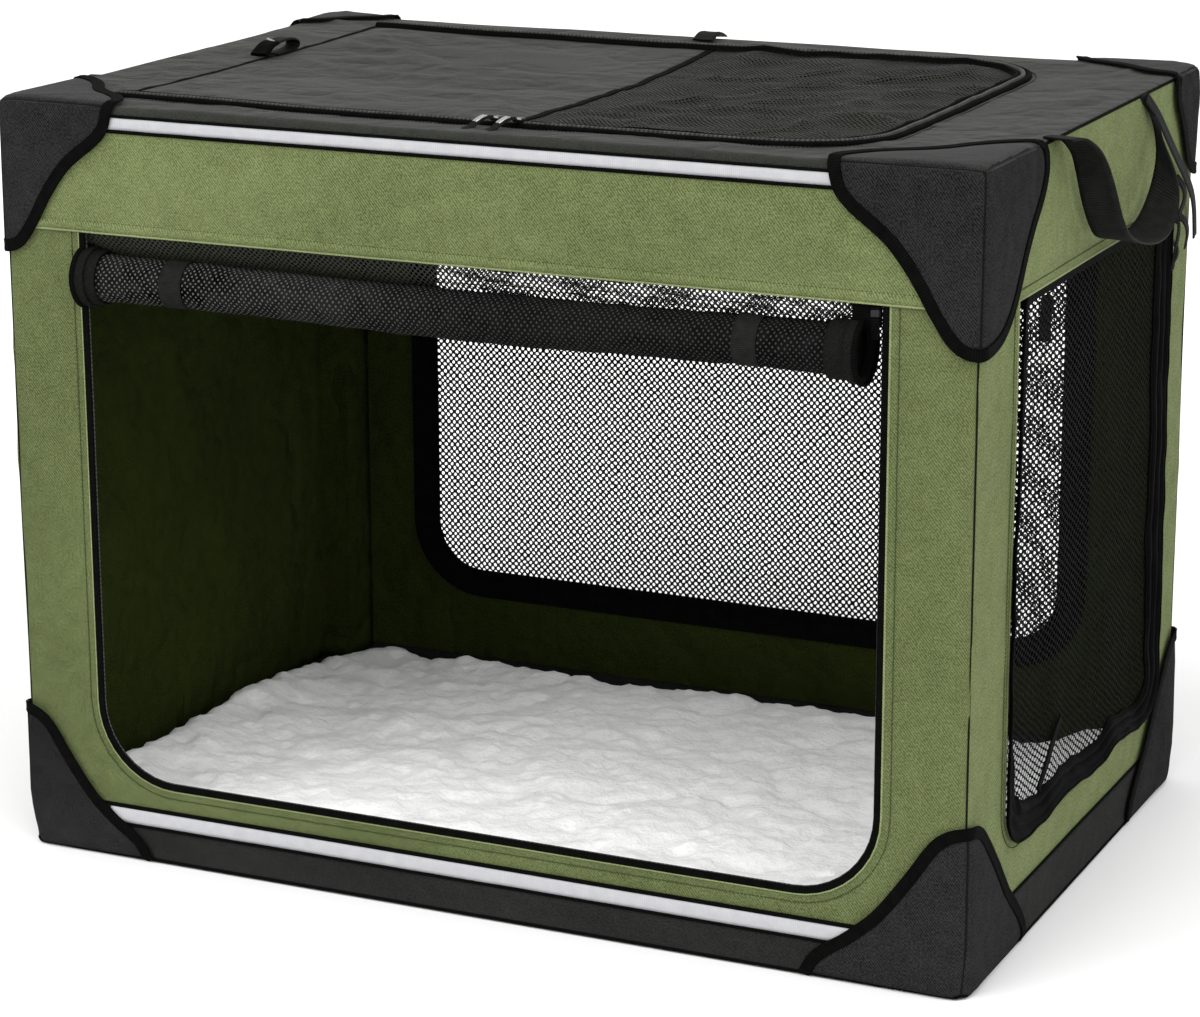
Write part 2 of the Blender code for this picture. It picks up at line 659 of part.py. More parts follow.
def build_guards():
    """The eight corner guards."""
    for x_sign in (-1, 1):
        for y_sign in (-1, 1):
            where = f"{face_name(y_sign)}_{side_name(x_sign)}"
            reach_x, reach_y, height = BASE_GUARD
            curves = (BASE_GUARD_FRONT_CURVE, BASE_GUARD_END_CURVE)
            path, drops = guard_path(reach_x, reach_y, curves, height, x_sign, y_sign)
            foot = GAP
            sheet = ribbon(path, GUARD_SHEET, "Z", foot, lambda i: foot + drops[i])
            smooth(node(f"base_{where}_guard", sheet, "charcoal"))
            reach_x, reach_y, height = TOP_GUARD
            curves = (TOP_GUARD_FRONT_CURVE, TOP_GUARD_END_CURVE)
            path, drops = guard_path(reach_x, reach_y, curves, height, x_sign, y_sign)
            sheet = ribbon(path, GUARD_SHEET, "Z", lambda i: HEIGHT - drops[i], HEIGHT)
            made = node(f"top_{where}_guard", sheet, "charcoal")
            smooth(made)
            lid = []
            steps = 8
            for i in range(1, steps):
                distance = reach_x * (1 - i / steps)
                lid.append((HALF_LENGTH - distance,
                            HALF_DEPTH - drop_of(distance, reach_x, reach_y, TOP_GUARD_LID_CURVE)))
            inset = GUARD_SHEET / 2
            lid = [(HALF_LENGTH - reach_x + GUARD_TIP, HALF_DEPTH - inset)] + lid
            lid.append((HALF_LENGTH - inset, HALF_DEPTH - reach_y + GUARD_TIP))
            radius = CORNER_RADIUS - inset
            for angle in (0, 15, 30, 45, 60, 75, 90):
                turn = math.radians(angle)
                lid.append((HALF_LENGTH - CORNER_RADIUS + radius * math.cos(turn),
                            HALF_DEPTH - CORNER_RADIUS + radius * math.sin(turn)))
            lid = [(x_sign * x, y_sign * y) for x, y in lid]
            cover = prism(lid, "Z", HEIGHT - GUARD_SHEET, HEIGHT)
            combine(made, node(f"top_{where}_guard_lid", cover, None), "UNION")


def build_roll():
    """The front mesh door, rolled up under the header, and its two straps."""
    y = -HALF_DEPTH + WALL_OUT + ROLL_RADIUS + STRAP_SHEET + 4 * GAP
    path = []
    steps = 14
    total = int(steps * ROLL_TURNS)
    outer = ROLL_RADIUS - ROLL_CLOTH / 2
    for i in range(total + 1):
        turn = i / steps
        radius = outer - ROLL_PITCH * (ROLL_TURNS - turn)
        angle = math.tau * (turn - ROLL_TURNS) - math.pi
        path.append((y + radius * math.cos(angle), ROLL_HEIGHT + radius * math.sin(angle)))
    closest = min(
        math.dist(path[i], path[j]) for i in range(total + 1) for j in range(i + steps - 3, total + 1)
    )
    print(f"front_roll: least gap between turns {(closest - ROLL_CLOTH) * 1000:.2f} mm")
    path.append((y - outer, DOORWAY_HIGH - 4 * GAP))
    half = ROLL_LENGTH / 2
    node("front_roll", ribbon(path, ROLL_CLOTH, "X", -half, half), "mesh")
    radius = ROLL_RADIUS + GAP + BLOCK_PLAY + STRAP_SHEET / 2
    for name, x in zip(("left_roll_strap", "right_roll_strap"), STRAP_OFFSETS):
        path = [(y - radius, DOORWAY_HIGH - 4 * GAP)]
        for i in range(steps + 1):
            angle = math.pi + math.radians(STRAP_WRAP) * i / steps
            path.append((y + radius * math.cos(angle), ROLL_HEIGHT + radius * math.sin(angle)))
        path.append((path[-1][0] - ROLL_RADIUS / 3, path[-1][1] + GAP))
        node(name, ribbon(path, STRAP_SHEET, "X", x - STRAP_WIDTH / 2, x + STRAP_WIDTH / 2), "webbing")


def build_handles():
    """A webbing loop hanging at the top of each end."""
    top = HEIGHT - HANDLE_TOP
    path = []
    for i in range(HANDLE_STEPS + 1):
        angle = math.pi * i / HANDLE_STEPS
        y = -HANDLE_SPAN / 2 * math.cos(angle)
        path.append((y, top - HANDLE_DROP * math.sin(angle) ** HANDLE_FULLNESS))
    sewn = HALF_LENGTH - WALL_OUT + GAP
    clear = HALF_LENGTH - HEADER_OUT + GAP
    outer = sewn + HANDLE_WIDTH

    def near(i):
        """The webbing's inner edge: on the wall at both ends, and clear of the base band between them."""
        return clear if HANDLE_SEWN_STEPS < i < HANDLE_STEPS - HANDLE_SEWN_STEPS else sewn

    for sign in (-1, 1):
        ends = (near, outer) if sign > 0 else (-outer, lambda i: -near(i))
        node(f"{side_name(sign)}_handle", ribbon(path, HANDLE_WEBBING, "X", *ends), "webbing")


def slider_outline(u, v, direction):
    """A slider seen from its face with its pull beside it, pointing in a direction along v."""
    half = SLIDER_LENGTH / 2
    edge = v + direction * SLIDER_WIDTH / 2
    tip = edge + direction * PULL_LENGTH
    pull = PULL_WIDTH / 2
    return ((u - half, v - direction * SLIDER_WIDTH / 2), (u + half, v - direction * SLIDER_WIDTH / 2),
            (u + half, edge), (u + pull, edge), (u + pull, tip), (u - pull, tip), (u - pull, edge),
            (u - half, edge))


def build_sliders():
    """The zip sliders of the top door and the end door, and the tab that ties the top door."""
    low = LID_HIGH + GAP
    zip_line = TOP_DOOR_FRONT - SLIDER_WIDTH / 2 - GAP
    for sign in (-1, 1):
        outline = slider_outline(sign * TOP_SLIDER_OFFSET, zip_line, -1)
        node(f"top_{side_name(sign)}_slider", prism(outline, "Z", low, low + SLIDER_HEIGHT), "webbing")
    near = HALF_LENGTH - WALL_OUT + GAP
    outline = slider_outline(END_DOOR_BACK + SLIDER_LENGTH / 2 + GAP, END_SLIDER_HEIGHT, -1)
    node("end_slider", prism(outline, "X", near, near + SLIDER_HEIGHT), "webbing")
    right = TOP_DOOR_LEFT - TIE_STANDOFF
    tab = box((right - TIE_LENGTH, TIE_BACK - TIE_WIDTH / 2, low),
              (right, TIE_BACK + TIE_WIDTH / 2, low + TIE_HEIGHT))
    node("top_door_tie", tab, "webbing")


def build_mat():
    """The fleece mat: crowned, drawn in at its sides and softly tufted."""
    half_length = MAT_LENGTH / 2
    half_width = MAT_WIDTH / 2
    base = HEADER_SHEET + GAP
    columns, rows = MAT_CELLS
    mesh = bmesh.new()

    def place(i, j):
        """A grid point in plan, with the rim on the mat's rounded outline."""
        u = 2 * i / columns - 1
        v = 2 * j / rows - 1
        x = half_length * u
        y = half_width * v
        centre_x = half_length - MAT_RADIUS
        centre_y = half_width - MAT_RADIUS
        over_x = abs(x) - centre_x
        over_y = abs(y) - centre_y
        if over_x > 0 and over_y > 0:
            reach = max(over_x, over_y) / math.hypot(over_x, over_y)
            x = math.copysign(centre_x + over_x * reach, x)
            y = math.copysign(centre_y + over_y * reach, y)
        return x, y, max(abs(u), abs(v))

    top, low = {}, {}
    for i in range(columns + 1):
        for j in range(rows + 1):
            x, y, rim = place(i, j)
            tuft = math.sin(math.pi * MAT_TUFTS[0] * i / columns) * math.sin(math.pi * MAT_TUFTS[1] * j / rows)
            crown = MAT_CROWN * (1 - rim ** 4)
            height = base + MAT_HEIGHT - MAT_CROWN + crown - MAT_TUFT_DEPTH * (1 - abs(tuft)) * (1 - rim ** 8)
            if rim > 0.999:
                height -= MAT_EDGE
            top[i, j] = mesh.verts.new((x, y, height))
            inset = 1 - MAT_EDGE / half_width if rim > 0.999 else 1
            low[i, j] = mesh.verts.new((x * inset, y * inset, base))
    for i in range(columns):
        for j in range(rows):
            mesh.faces.new((top[i, j], top[i + 1, j], top[i + 1, j + 1], top[i, j + 1]))
    rim_keys = [(i, 0) for i in range(columns)] + [(columns, j) for j in range(rows)]
    rim_keys += [(i, rows) for i in range(columns, 0, -1)] + [(0, j) for j in range(rows, 0, -1)]
    bottom = []
    for key, following in zip(rim_keys, rim_keys[1:] + rim_keys[:1]):
        mesh.faces.new((top[key], top[following], low[following], low[key]))
        bottom.append(low[key])
    mesh.faces.new(bottom)
    loose = [vertex for vertex in mesh.verts if not vertex.link_faces]
    bmesh.ops.delete(mesh, geom=loose, context="VERTS")
    smooth(node("mat", mesh, "fleece"))


def main():
    """Clears the scene and builds the crate."""
    for old in list(bpy.data.objects):
        bpy.data.objects.remove(old)
    build_rails()
    build_blocks()
    build_posts()
    build_walls()
    build_window()
    build_end_door()
    build_top()
    build_linings()
    build_front_trim()
    build_tub()
    build_guards()
    build_roll()
    build_handles()
    build_sliders()
    build_mat()


main()
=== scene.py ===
"""Looks of the folding soft-sided dog crate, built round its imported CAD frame.

Metres, +Z up. Every sewn piece lies on the crate's outer box, whose edges are slightly rounded, at a depth
of its own. Pieces of the lid ride on the frame's top ring, and the others ride on its base.
"""

from __future__ import annotations

import logging
from collections.abc import Callable, Sequence
from dataclasses import dataclass, field, replace
from enum import Enum
from itertools import accumulate
from math import atan2, copysign, cos, dist, exp, hypot, pi, radians, sin, sqrt, tau

import bmesh
import bpy
from mathutils import Matrix, Vector, noise
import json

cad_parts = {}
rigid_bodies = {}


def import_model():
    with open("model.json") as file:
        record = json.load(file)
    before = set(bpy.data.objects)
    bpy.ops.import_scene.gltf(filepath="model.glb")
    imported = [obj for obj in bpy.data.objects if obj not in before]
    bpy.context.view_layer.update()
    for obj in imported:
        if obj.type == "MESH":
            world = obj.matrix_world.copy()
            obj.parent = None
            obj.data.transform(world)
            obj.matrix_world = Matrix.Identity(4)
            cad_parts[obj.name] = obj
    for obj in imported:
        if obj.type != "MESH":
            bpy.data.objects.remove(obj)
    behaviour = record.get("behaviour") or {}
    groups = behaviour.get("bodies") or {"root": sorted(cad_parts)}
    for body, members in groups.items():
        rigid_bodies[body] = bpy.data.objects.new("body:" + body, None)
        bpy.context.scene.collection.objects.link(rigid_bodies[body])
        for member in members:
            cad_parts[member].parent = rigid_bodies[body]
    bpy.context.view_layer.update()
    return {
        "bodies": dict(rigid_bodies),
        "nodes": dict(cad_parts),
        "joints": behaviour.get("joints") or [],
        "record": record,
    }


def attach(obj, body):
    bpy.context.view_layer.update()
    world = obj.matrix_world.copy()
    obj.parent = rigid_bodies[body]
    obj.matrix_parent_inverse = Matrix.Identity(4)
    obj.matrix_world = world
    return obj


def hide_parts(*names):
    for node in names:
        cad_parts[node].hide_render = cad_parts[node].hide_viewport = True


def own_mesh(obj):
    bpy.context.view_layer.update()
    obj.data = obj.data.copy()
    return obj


log = logging.getLogger("crate")

Mesh = bmesh.types.BMesh
Piece = bpy.types.Object
Node = bpy.types.Node
Socket = bpy.types.NodeSocket
Tree = bpy.types.NodeTree
Pair = tuple[float, float]
Rect = tuple[float, float, float, float]
Placed = tuple[Vector, Pair]
Place = Callable[[float, float], Placed]
Relief = Callable[[float, float], float]
Line = Sequence["Station"]
PanelRelief = Callable[[float, float, float], float]
Profile = Sequence[Pair]

# The crate's outer box, the radii of its edges, and its folded height as a share of its height.
HALF_X = 0.5335
HALF_Y = 0.3555
HEIGHT = 0.813
ROUND = 0.010
FOOT_ROUND = 0.026
FOOT_RISE = 0.060

UP = Vector((0, 0, 1))
AHEAD = Vector((0, -1, 0))
RIGHT = Vector((1, 0, 0))
SEAM_STEP = 0.02
CLOTH_THICK = 0.0016
TINY = 1e-6


class Slot(Enum):
    """The record's material slots."""

    GREEN = "green_cloth"
    CHARCOAL = "charcoal_cloth"
    LINING = "lining_cloth"
    MESH = "black_mesh"
    WEBBING = "webbing"
    TAPE = "reflective_tape"
    FLEECE = "fleece"
    STEEL = "steel_tube"
    RIVET = "rivet_steel"
    PLASTIC = "moulded_plastic"
    ZIP = "zip_slider"


class Fold(Enum):
    """The plane that a soft piece would flatten towards as the crate folds, or none for a rigid piece; here
    it only gives a soft piece a mesh of its own.
    """

    RIGID = "rigid"
    FLOOR = "floor"
    LID = "lid"


class Face(Enum):
    """The faces of the crate's box, each with two in-plane directions u and v."""

    FRONT = "front"
    BACK = "back"
    LEFT = "left"
    RIGHT = "right"
    TOP = "top"

    def point(self, u: float, v: float) -> Vector:
        """A point on the face; on the top, v beyond the depth runs down the front or back.

        Args:
            u: Along X, or along Y on the two ends.
            v: Height, or along Y on the top.

        Returns:
            The point on the sharp-edged box.
        """
        if self is Face.TOP:
            over = max(abs(v) - HALF_Y, 0.0)
            return Vector((u, copysign(min(abs(v), HALF_Y), v), HEIGHT - over))
        if self in (Face.FRONT, Face.BACK):
            return Vector((u, -HALF_Y if self is Face.FRONT else HALF_Y, v))
        return Vector((-HALF_X if self is Face.LEFT else HALF_X, u, v))

    @property
    def inward(self) -> bool:
        """Whether u across v points into the crate."""
        return self in (Face.BACK, Face.LEFT)


def bell(share: float) -> float:
    """One in the middle, falling smoothly to zero at plus or minus one."""
    return max(0.0, 1.0 - share * share) ** 2


def clamp(value: float) -> float:
    """The value kept between zero and one."""
    return min(max(value, 0.0), 1.0)


def evenly(low: float, high: float, count: int) -> list[float]:
    """Values from low to high in a number of even steps."""
    return [low + (high - low) * i / count for i in range(count + 1)]


def travelled(points: Sequence[Vector]) -> list[float]:
    """The way along a line up to each of its points."""
    steps = [dist(first, second) for first, second in zip(points, points[1:])]
    return [0.0, *accumulate(steps)]


def ripple(point: Vector, scale: float, seed: float = 0.0) -> float:
    """Smooth noise from about -1 to 1 at a number of waves per metre."""
    return noise.noise(point * scale + Vector((seed, 1.7 * seed, -seed)))


def creases(point: Vector, scale: float, seed: float = 0.0) -> float:
    """Narrow soft ridges, from 0 to 1, along the zero lines of smooth noise."""
    return max(0.0, 1.0 - 5.0 * abs(ripple(point, scale, seed))) ** 2


class Shell:
    """The crate's outer box with rounded edges, and the way that its cloth sags and puffs."""

    @staticmethod
    def billow(point: Vector) -> float:
        """How far the cloth of every layer stands out at a point of the box.

        Args:
            point: A point on the sharp-edged box.

        Returns:
            The distance.
        """
        out = 0.0011 * ripple(point, 5.0, 3.1) * min(point.z / 0.02, 1.0)
        if point.z >= HEIGHT - TINY:
            inside = bell(point.x / 0.525) ** 0.5 * bell(point.y / 0.345) ** 0.5
            out -= inside * (0.011 + 0.004 * ripple(point, 4.0, 8.0))
            out += inside * 0.0022 * ripple(Vector((point.x, 2.2 * point.y, 0.0)), 13.0, 5.0)
        return out

    @staticmethod
    def skin(point: Vector, proud: float) -> Vector:
        """The place of a point of the sharp box on the rounded cloth.

        Args:
            point: A point on the sharp-edged box.
            proud: How far the layer stands out from the box.

        Returns:
            The point in the row frame.
        """
        core = Vector((
            min(max(point.x, ROUND - HALF_X), HALF_X - ROUND),
            min(max(point.y, ROUND - HALF_Y), HALF_Y - ROUND),
            min(max(point.z, ROUND), HEIGHT - ROUND),
        ))
        out = proud + Shell.billow(point)
        place = core + (point - core).normalized() * (ROUND + out)
        share = clamp(1.0 - (place.z - 0.006) / FOOT_RISE)
        radius = ROUND + (FOOT_ROUND - ROUND) * share * share * (3.0 - 2.0 * share)
        over_x, over_y = abs(place.x) - (HALF_X - radius), abs(place.y) - (HALF_Y - radius)
        if over_x > 0.0 and over_y > 0.0:
            pull = min((radius + out) / max(hypot(over_x, over_y), 1e-9), 1.0)
            place.x = copysign(HALF_X - radius + over_x * pull, place.x)
            place.y = copysign(HALF_Y - radius + over_y * pull, place.y)
        return place

    @staticmethod
    def trace(points: Sequence[Vector], proud: float, ring: bool = False) -> Line:
        """Stations for a seam that follows points of the sharp box.

        Args:
            points: The seam's points on the sharp box.
            proud: How far the seam stands out from the box.
            ring: Whether the seam closes on itself.

        Returns:
            One station for each point.
        """
        places = [Shell.skin(point, proud) for point in points]
        outs = [(Shell.skin(point, proud + 0.001) - place) for point, place in zip(points, places)]
        return stations(places, outs, ring)


@dataclass(frozen=True)
class Station:
    """One place along a seam, with its outward and sideways directions."""

    at: Vector
    out: Vector
    side: Vector

    def raised(self, height: float) -> Station:
        """The same station a little further out."""
        return Station(self.at + self.out * height, self.out, self.side)


def stations(places: Sequence[Vector], outs: Sequence[Vector] | Vector, ring: bool = False) -> Line:
    """Stations along a line of places.

    Args:
        places: The line's points in the row frame.
        outs: Roughly outward directions at the points, or one for all of them.
        ring: Whether the line closes on itself.

    Returns:
        One station for each place, with its directions square to the line.
    """
    made = []
    count = len(places)
    outs = [outs] * count if isinstance(outs, Vector) else outs
    for i, (place, out) in enumerate(zip(places, outs)):
        after = places[(i + 1) % count] if ring or i + 1 < count else place
        before = places[i - 1] if ring or i > 0 else place
        along = (after - before).normalized()
        side = out.normalized().cross(along).normalized()
        made.append(Station(place, along.cross(side).normalized(), side))
    return made


def spaced(line: Line, spacing: float, ring: bool = False) -> Line:
    """The same line with stations at even steps.

    Args:
        line: Stations at any steps.
        spacing: The wanted step.
        ring: Whether the line closes on itself.

    Returns:
        Stations about that far apart.
    """
    loop = list(line) + ([line[0]] if ring else [])
    lengths = travelled([station.at for station in loop])
    count = max(2, round(lengths[-1] / spacing))
    made = []
    index = 0
    for k in range(count if ring else count + 1):
        wanted = lengths[-1] * k / count
        while index < len(loop) - 2 and lengths[index + 1] < wanted:
            index += 1
        share = (wanted - lengths[index]) / max(lengths[index + 1] - lengths[index], 1e-9)
        first, second = loop[index], loop[index + 1]
        made.append(Station(
            first.at.lerp(second.at, share),
            first.out.lerp(second.out, share).normalized(),
            first.side.lerp(second.side, share).normalized(),
        ))
    return made


def smooth_line(points: Sequence[Vector], steps: int = 5) -> list[Vector]:
    """A Catmull-Rom line through the points, with a number of steps between two of them.

    Args:
        points: The points that it goes through.
        steps: Steps between two points.

    Returns:
        The finer points.
    """
    made = []
    for i in range(len(points) - 1):
        first, second = points[i], points[i + 1]
        before = points[i - 1] if i else first
        after = points[i + 2] if i + 2 < len(points) else second
        for k in range(steps):
            t = k / steps
            made.append(0.5 * (2 * first + (second - before) * t
                               + (2 * before - 5 * first + 4 * second - after) * t * t
                               + (3 * first - before - 3 * second + after) * t ** 3))
    return made + [points[-1].copy()]


def woven(cells_u: int, cells_v: int, place: Place, flip: bool = False, weld: bool = False) -> Mesh:
    """A grid laid into any shape, with its UVs in metres.

    Args:
        cells_u: Cells in the first direction.
        cells_v: Cells in the second direction.
        place: Gives a point and its UV from two shares, each from 0 to 1.
        flip: Whether to turn the faces over.
        weld: Whether to join edges that meet.

    Returns:
        The mesh.
    """
    mesh = bmesh.new()
    layer = mesh.loops.layers.uv.new("UVMap")
    bmesh.ops.create_grid(mesh, x_segments=cells_u, y_segments=cells_v, size=0.5)
    marks = {}
    for vert in mesh.verts:
        vert.co, marks[vert] = place(vert.co.x + 0.5, vert.co.y + 0.5)
    for face in mesh.faces:
        for loop in face.loops:
            loop[layer].uv = marks[loop.vert]
    if flip:
        bmesh.ops.reverse_faces(mesh, faces=mesh.faces)
    if weld:
        bmesh.ops.remove_doubles(mesh, verts=mesh.verts, dist=2e-5)
    return mesh


def swept(line: Line, profile: Profile, ring: bool = False) -> Mesh:
    """A closed section carried along stations, with closed ends.

    Args:
        line: The stations.
        profile: The section's points, sideways and outward.
        ring: Whether the line closes on itself.

    Returns:
        The mesh.
    """
    count = len(line)
    cells = count if ring else count - 1
    lengths = travelled([station.at for station in [*line, line[0]]])
    girth = sum(dist(a, b) for a, b in zip(profile, [*profile[1:], profile[0]]))

    def place(s: float, t: float) -> Placed:
        """The section's point at a station.

        Args:
            s: The share along the line.
            t: The share round the section.

        Returns:
            The point and its UV.
        """
        i = round(s * cells)
        across, up = profile[round(t * len(profile)) % len(profile)]
        station = line[i % count]
        return station.at + station.side * across + station.out * up, (lengths[i], t * girth)

    mesh = woven(cells, len(profile), place, weld=True)
    rim = [edge for edge in mesh.edges if edge.is_boundary]
    if rim:
        bmesh.ops.holes_fill(mesh, edges=rim, sides=0)
    bmesh.ops.recalc_face_normals(mesh, faces=mesh.faces)
    return mesh


def cord(radius: float, sides: int = 8) -> Profile:
    """A round section."""
    return [(radius * cos(tau * k / sides), radius * sin(tau * k / sides)) for k in range(sides)]


def band(width: float, height: float) -> Profile:
    """The section of a flat tape with rounded edges and a shallow groove along its middle.

    Args:
        width: The tape's width.
        height: How far it stands out.

    Returns:
        The section's points.
    """
    half = width / 2
    return [(-half, 0.0), (-0.92 * half, 0.75 * height), (-0.7 * half, height), (-0.3 * half, 0.82 * height),
            (0.3 * half, 0.82 * height), (0.7 * half, height), (0.92 * half, 0.75 * height), (half, 0.0),
            (0.0, -0.3 * height)]


def stitched(line: Line, pitch: float = 0.0042, radius: float = 0.00045, ring: bool = False) -> Mesh:
    """A row of stitches: one thread that dips under the cloth between them.

    Args:
        line: The stations of the seam.
        pitch: The length of a stitch.
        radius: The thread's radius.
        ring: Whether the seam closes on itself.

    Returns:
        The mesh.
    """
    lifts = (-2.2, 0.25, 0.6, 0.25)
    fine = spaced(line, pitch / len(lifts), ring)
    raised = [station.raised(radius * lifts[i % len(lifts)]) for i, station in enumerate(fine)]
    return swept(raised, cord(radius, 5), ring)


@dataclass(frozen=True)
class Opening:
    """A rounded rectangle in a face. Its corner radii run from the low-low corner, turning left."""

    face: Face
    low_u: float
    high_u: float
    low_v: float
    high_v: float
    radii: Rect

    def rim(self, offset: float = 0.0, spacing: float = 0.012, fan: int = 5,
            outer: Rect | None = None) -> list[Rect]:
        """Points round the opening with their outward directions.

        Args:
            offset: How far outside the edge the points lie.
            spacing: The step along straight sides.
            fan: Steps in each half of a corner.
            outer: The rectangle that the opening is in, so that a direction meets each of its corners.

        Returns:
            (u, v, outward u, outward v) of each point, turning left from the low side.
        """
        corners = ((self.high_u, self.low_v, -1, 1, -90, self.radii[1]),
                   (self.high_u, self.high_v, -1, -1, 0, self.radii[2]),
                   (self.low_u, self.high_v, 1, -1, 90, self.radii[3]),
                   (self.low_u, self.low_v, 1, 1, 180, self.radii[0]))
        made = []
        for k, (u, v, du, dv, start, radius) in enumerate(corners):
            centre_u, centre_v = u + du * radius, v + dv * radius
            begin = radians(start)
            middle = begin + pi / 4
            if outer:
                target_u = outer[1] if du < 0 else outer[0]
                target_v = outer[2] if dv > 0 else outer[3]
                turn = atan2(target_v - centre_v, target_u - centre_u) - begin
                middle = begin + turn % tau
            angles = [begin + (middle - begin) * i / fan for i in range(fan)]
            angles += [middle + (begin + pi / 2 - middle) * i / fan for i in range(fan + 1)]
            for angle in angles:
                nu, nv = cos(angle), sin(angle)
                made.append((centre_u + (radius + offset) * nu, centre_v + (radius + offset) * nv, nu, nv))
            following = corners[(k + 1) % 4]
            end_u = following[0] + following[2] * following[5] + (following[5] + offset) * nu
            end_v = following[1] + following[3] * following[5] + (following[5] + offset) * nv
            from_u, from_v = made[-1][:2]
            count = max(1, round(hypot(end_u - from_u, end_v - from_v) / spacing))
            for i in range(1, count):
                share = i / count
                made.append((from_u + (end_u - from_u) * share, from_v + (end_v - from_v) * share, nu, nv))
        return made

    def seam(self, offset: float, proud: float, relief: Relief | None = None, spacing: float = 0.012) -> Line:
        """Stations of a seam round the opening.

        Args:
            offset: How far outside the edge the seam lies.
            proud: How far the seam stands out from the box.
            relief: Extra height at a place.
            spacing: The step along straight sides.

        Returns:
            The stations of the ring.
        """
        rim = self.rim(offset, spacing)
        points = [self.face.point(u, v) for u, v, _, _ in rim]
        line = Shell.trace(points, proud, ring=True)
        if relief:
            line = [station.raised(relief(u, v)) for station, (u, v, _, _) in zip(line, rim)]
        return line

    @property
    def area(self) -> float:
        """The opening's area."""
        corners = sum((1.0 - pi / 4) * radius ** 2 for radius in self.radii)
        return (self.high_u - self.low_u) * (self.high_v - self.low_v) - corners

    def span(self, v: float, inset: float = 0.0) -> Pair:
        """Where the opening's two sides are at a height, an inset inside its edge.

        Args:
            v: The height.
            inset: How far inside the edge the sides are.

        Returns:
            The lower and the higher side.
        """
        sides = []
        for side, low_radius, high_radius in ((self.low_u, self.radii[0], self.radii[3]),
                                              (self.high_u, self.radii[1], self.radii[2])):
            cut = 0.0
            for radius, depth in ((low_radius, v - self.low_v - inset),
                                  (high_radius, self.high_v - inset - v)):
                reach = max(radius - inset, 0.0)
                if depth < reach:
                    cut = max(cut, reach - sqrt(max(reach ** 2 - (reach - max(depth, 0.0)) ** 2, 0.0)))
            sides.append(side + (inset + cut) * (1 if side == self.low_u else -1))
        return sides[0], sides[1]

    def cloth(self, proud: float, relief: Relief, spacing: float, inset: float = 0.0,
              between: Callable[[float], Pair] | None = None) -> Mesh:
        """Cloth that fills the opening.

        Args:
            proud: How far the cloth stands out from the box.
            relief: Extra height at a place.
            spacing: The size of a cell.
            inset: How far the cloth ends inside the edge.
            between: Gives the two values of u to keep to at a height, if only a part is filled.

        Returns:
            The mesh.
        """
        bounds = between or (lambda _: (self.low_u, self.high_u))
        low_u, high_u = bounds(0.5 * (self.low_v + self.high_v))
        low_v, high_v = self.low_v + inset, self.high_v - inset
        cells_u = round((high_u - low_u) / spacing)
        cells_v = round((high_v - low_v) / spacing)

        def place(s: float, t: float) -> Placed:
            """A point between the two sides at its height.

            Args:
                s: The share along it.
                t: The share across it.

            Returns:
                The point and its UV.
            """
            eased = 0.7 * t + 0.3 * (0.5 - 0.5 * cos(pi * t))
            v = low_v + (high_v - low_v) * eased
            left, right = self.span(v, inset)
            left, right = max(left, bounds(v)[0]), min(right, bounds(v)[1])
            u = left + (right - left) * s
            return Shell.skin(self.face.point(u, v), proud + relief(u, v)), (u, v)

        return woven(cells_u, cells_v, place, flip=self.face.inward, weld=True)


@dataclass(frozen=True)
class Panel:
    """A cut of cloth on one face, from an opening's edge out to a rectangle."""

    opening: Opening
    rect: Rect
    proud: float
    rings: int = 11
    hem: tuple[float, ...] = (0.0, 0.0035, 0.0065, 0.0095, 0.0125, 0.018)

    def mesh(self, relief: PanelRelief) -> Mesh:
        """Builds the panel.

        Args:
            relief: Extra height at a place, from u, v and the distance from the opening's edge.

        Returns:
            The mesh.
        """
        rim = self.opening.rim(outer=self.rect)
        low_u, high_u, low_v, high_v = self.rect
        cells = len(rim)
        rings = len(self.hem) - 1 + self.rings

        def place(s: float, t: float) -> Placed:
            """A point on the ray from the rim to the rectangle.

            Args:
                s: The share round the rim.
                t: The share out from the rim.

            Returns:
                The point and its UV.
            """
            u, v, nu, nv = rim[round(s * cells) % cells]
            reaches = []
            if abs(nu) > TINY:
                reaches.append(((high_u if nu > 0 else low_u) - u) / nu)
            if abs(nv) > TINY:
                reaches.append(((high_v if nv > 0 else low_v) - v) / nv)
            reach = min(reaches)
            k = round(t * rings)
            last = len(self.hem) - 1
            if k <= last:
                distance = min(self.hem[k], reach * (k + 1) / (last + 2))
            else:
                share = sin(pi / 2 * (k - last) / self.rings) ** 1.2
                distance = self.hem[-1] + (reach - self.hem[-1]) * share
            u, v = u + nu * distance, v + nv * distance
            height = self.proud + relief(u, v, distance)
            return Shell.skin(self.opening.face.point(u, v), height), (u, v)

        return woven(cells, rings, place, flip=not self.opening.face.inward, weld=True)


def patch(face: Face, rect: Rect, proud: float, relief: Relief, spacing: float = 0.012) -> Mesh:
    """A plain rectangle of cloth on a face.

    Args:
        face: The face it lies on.
        rect: Its low and high u, and its low and high v.
        proud: How far it stands out from the box.
        relief: Extra height at a place.
        spacing: The size of a cell.

    Returns:
        The mesh.
    """
    low_u, high_u, low_v, high_v = rect

    def place(s: float, t: float) -> Placed:
        """A point of the rectangle."""
        u, v = low_u + (high_u - low_u) * s, low_v + (high_v - low_v) * t
        return Shell.skin(face.point(u, v), proud + relief(u, v)), (u, v)

    cells = (max(2, round((high_u - low_u) / spacing)), max(2, round((high_v - low_v) / spacing)))
    return woven(*cells, place, flip=face.inward)


def level(face: Face, height: float, low_u: float, high_u: float, proud: float) -> Line:
    """Stations of a straight seam at one height of a face."""
    points = [face.point(u, height) for u in evenly(low_u, high_u, round((high_u - low_u) / SEAM_STEP))]
    return Shell.trace(points, proud)


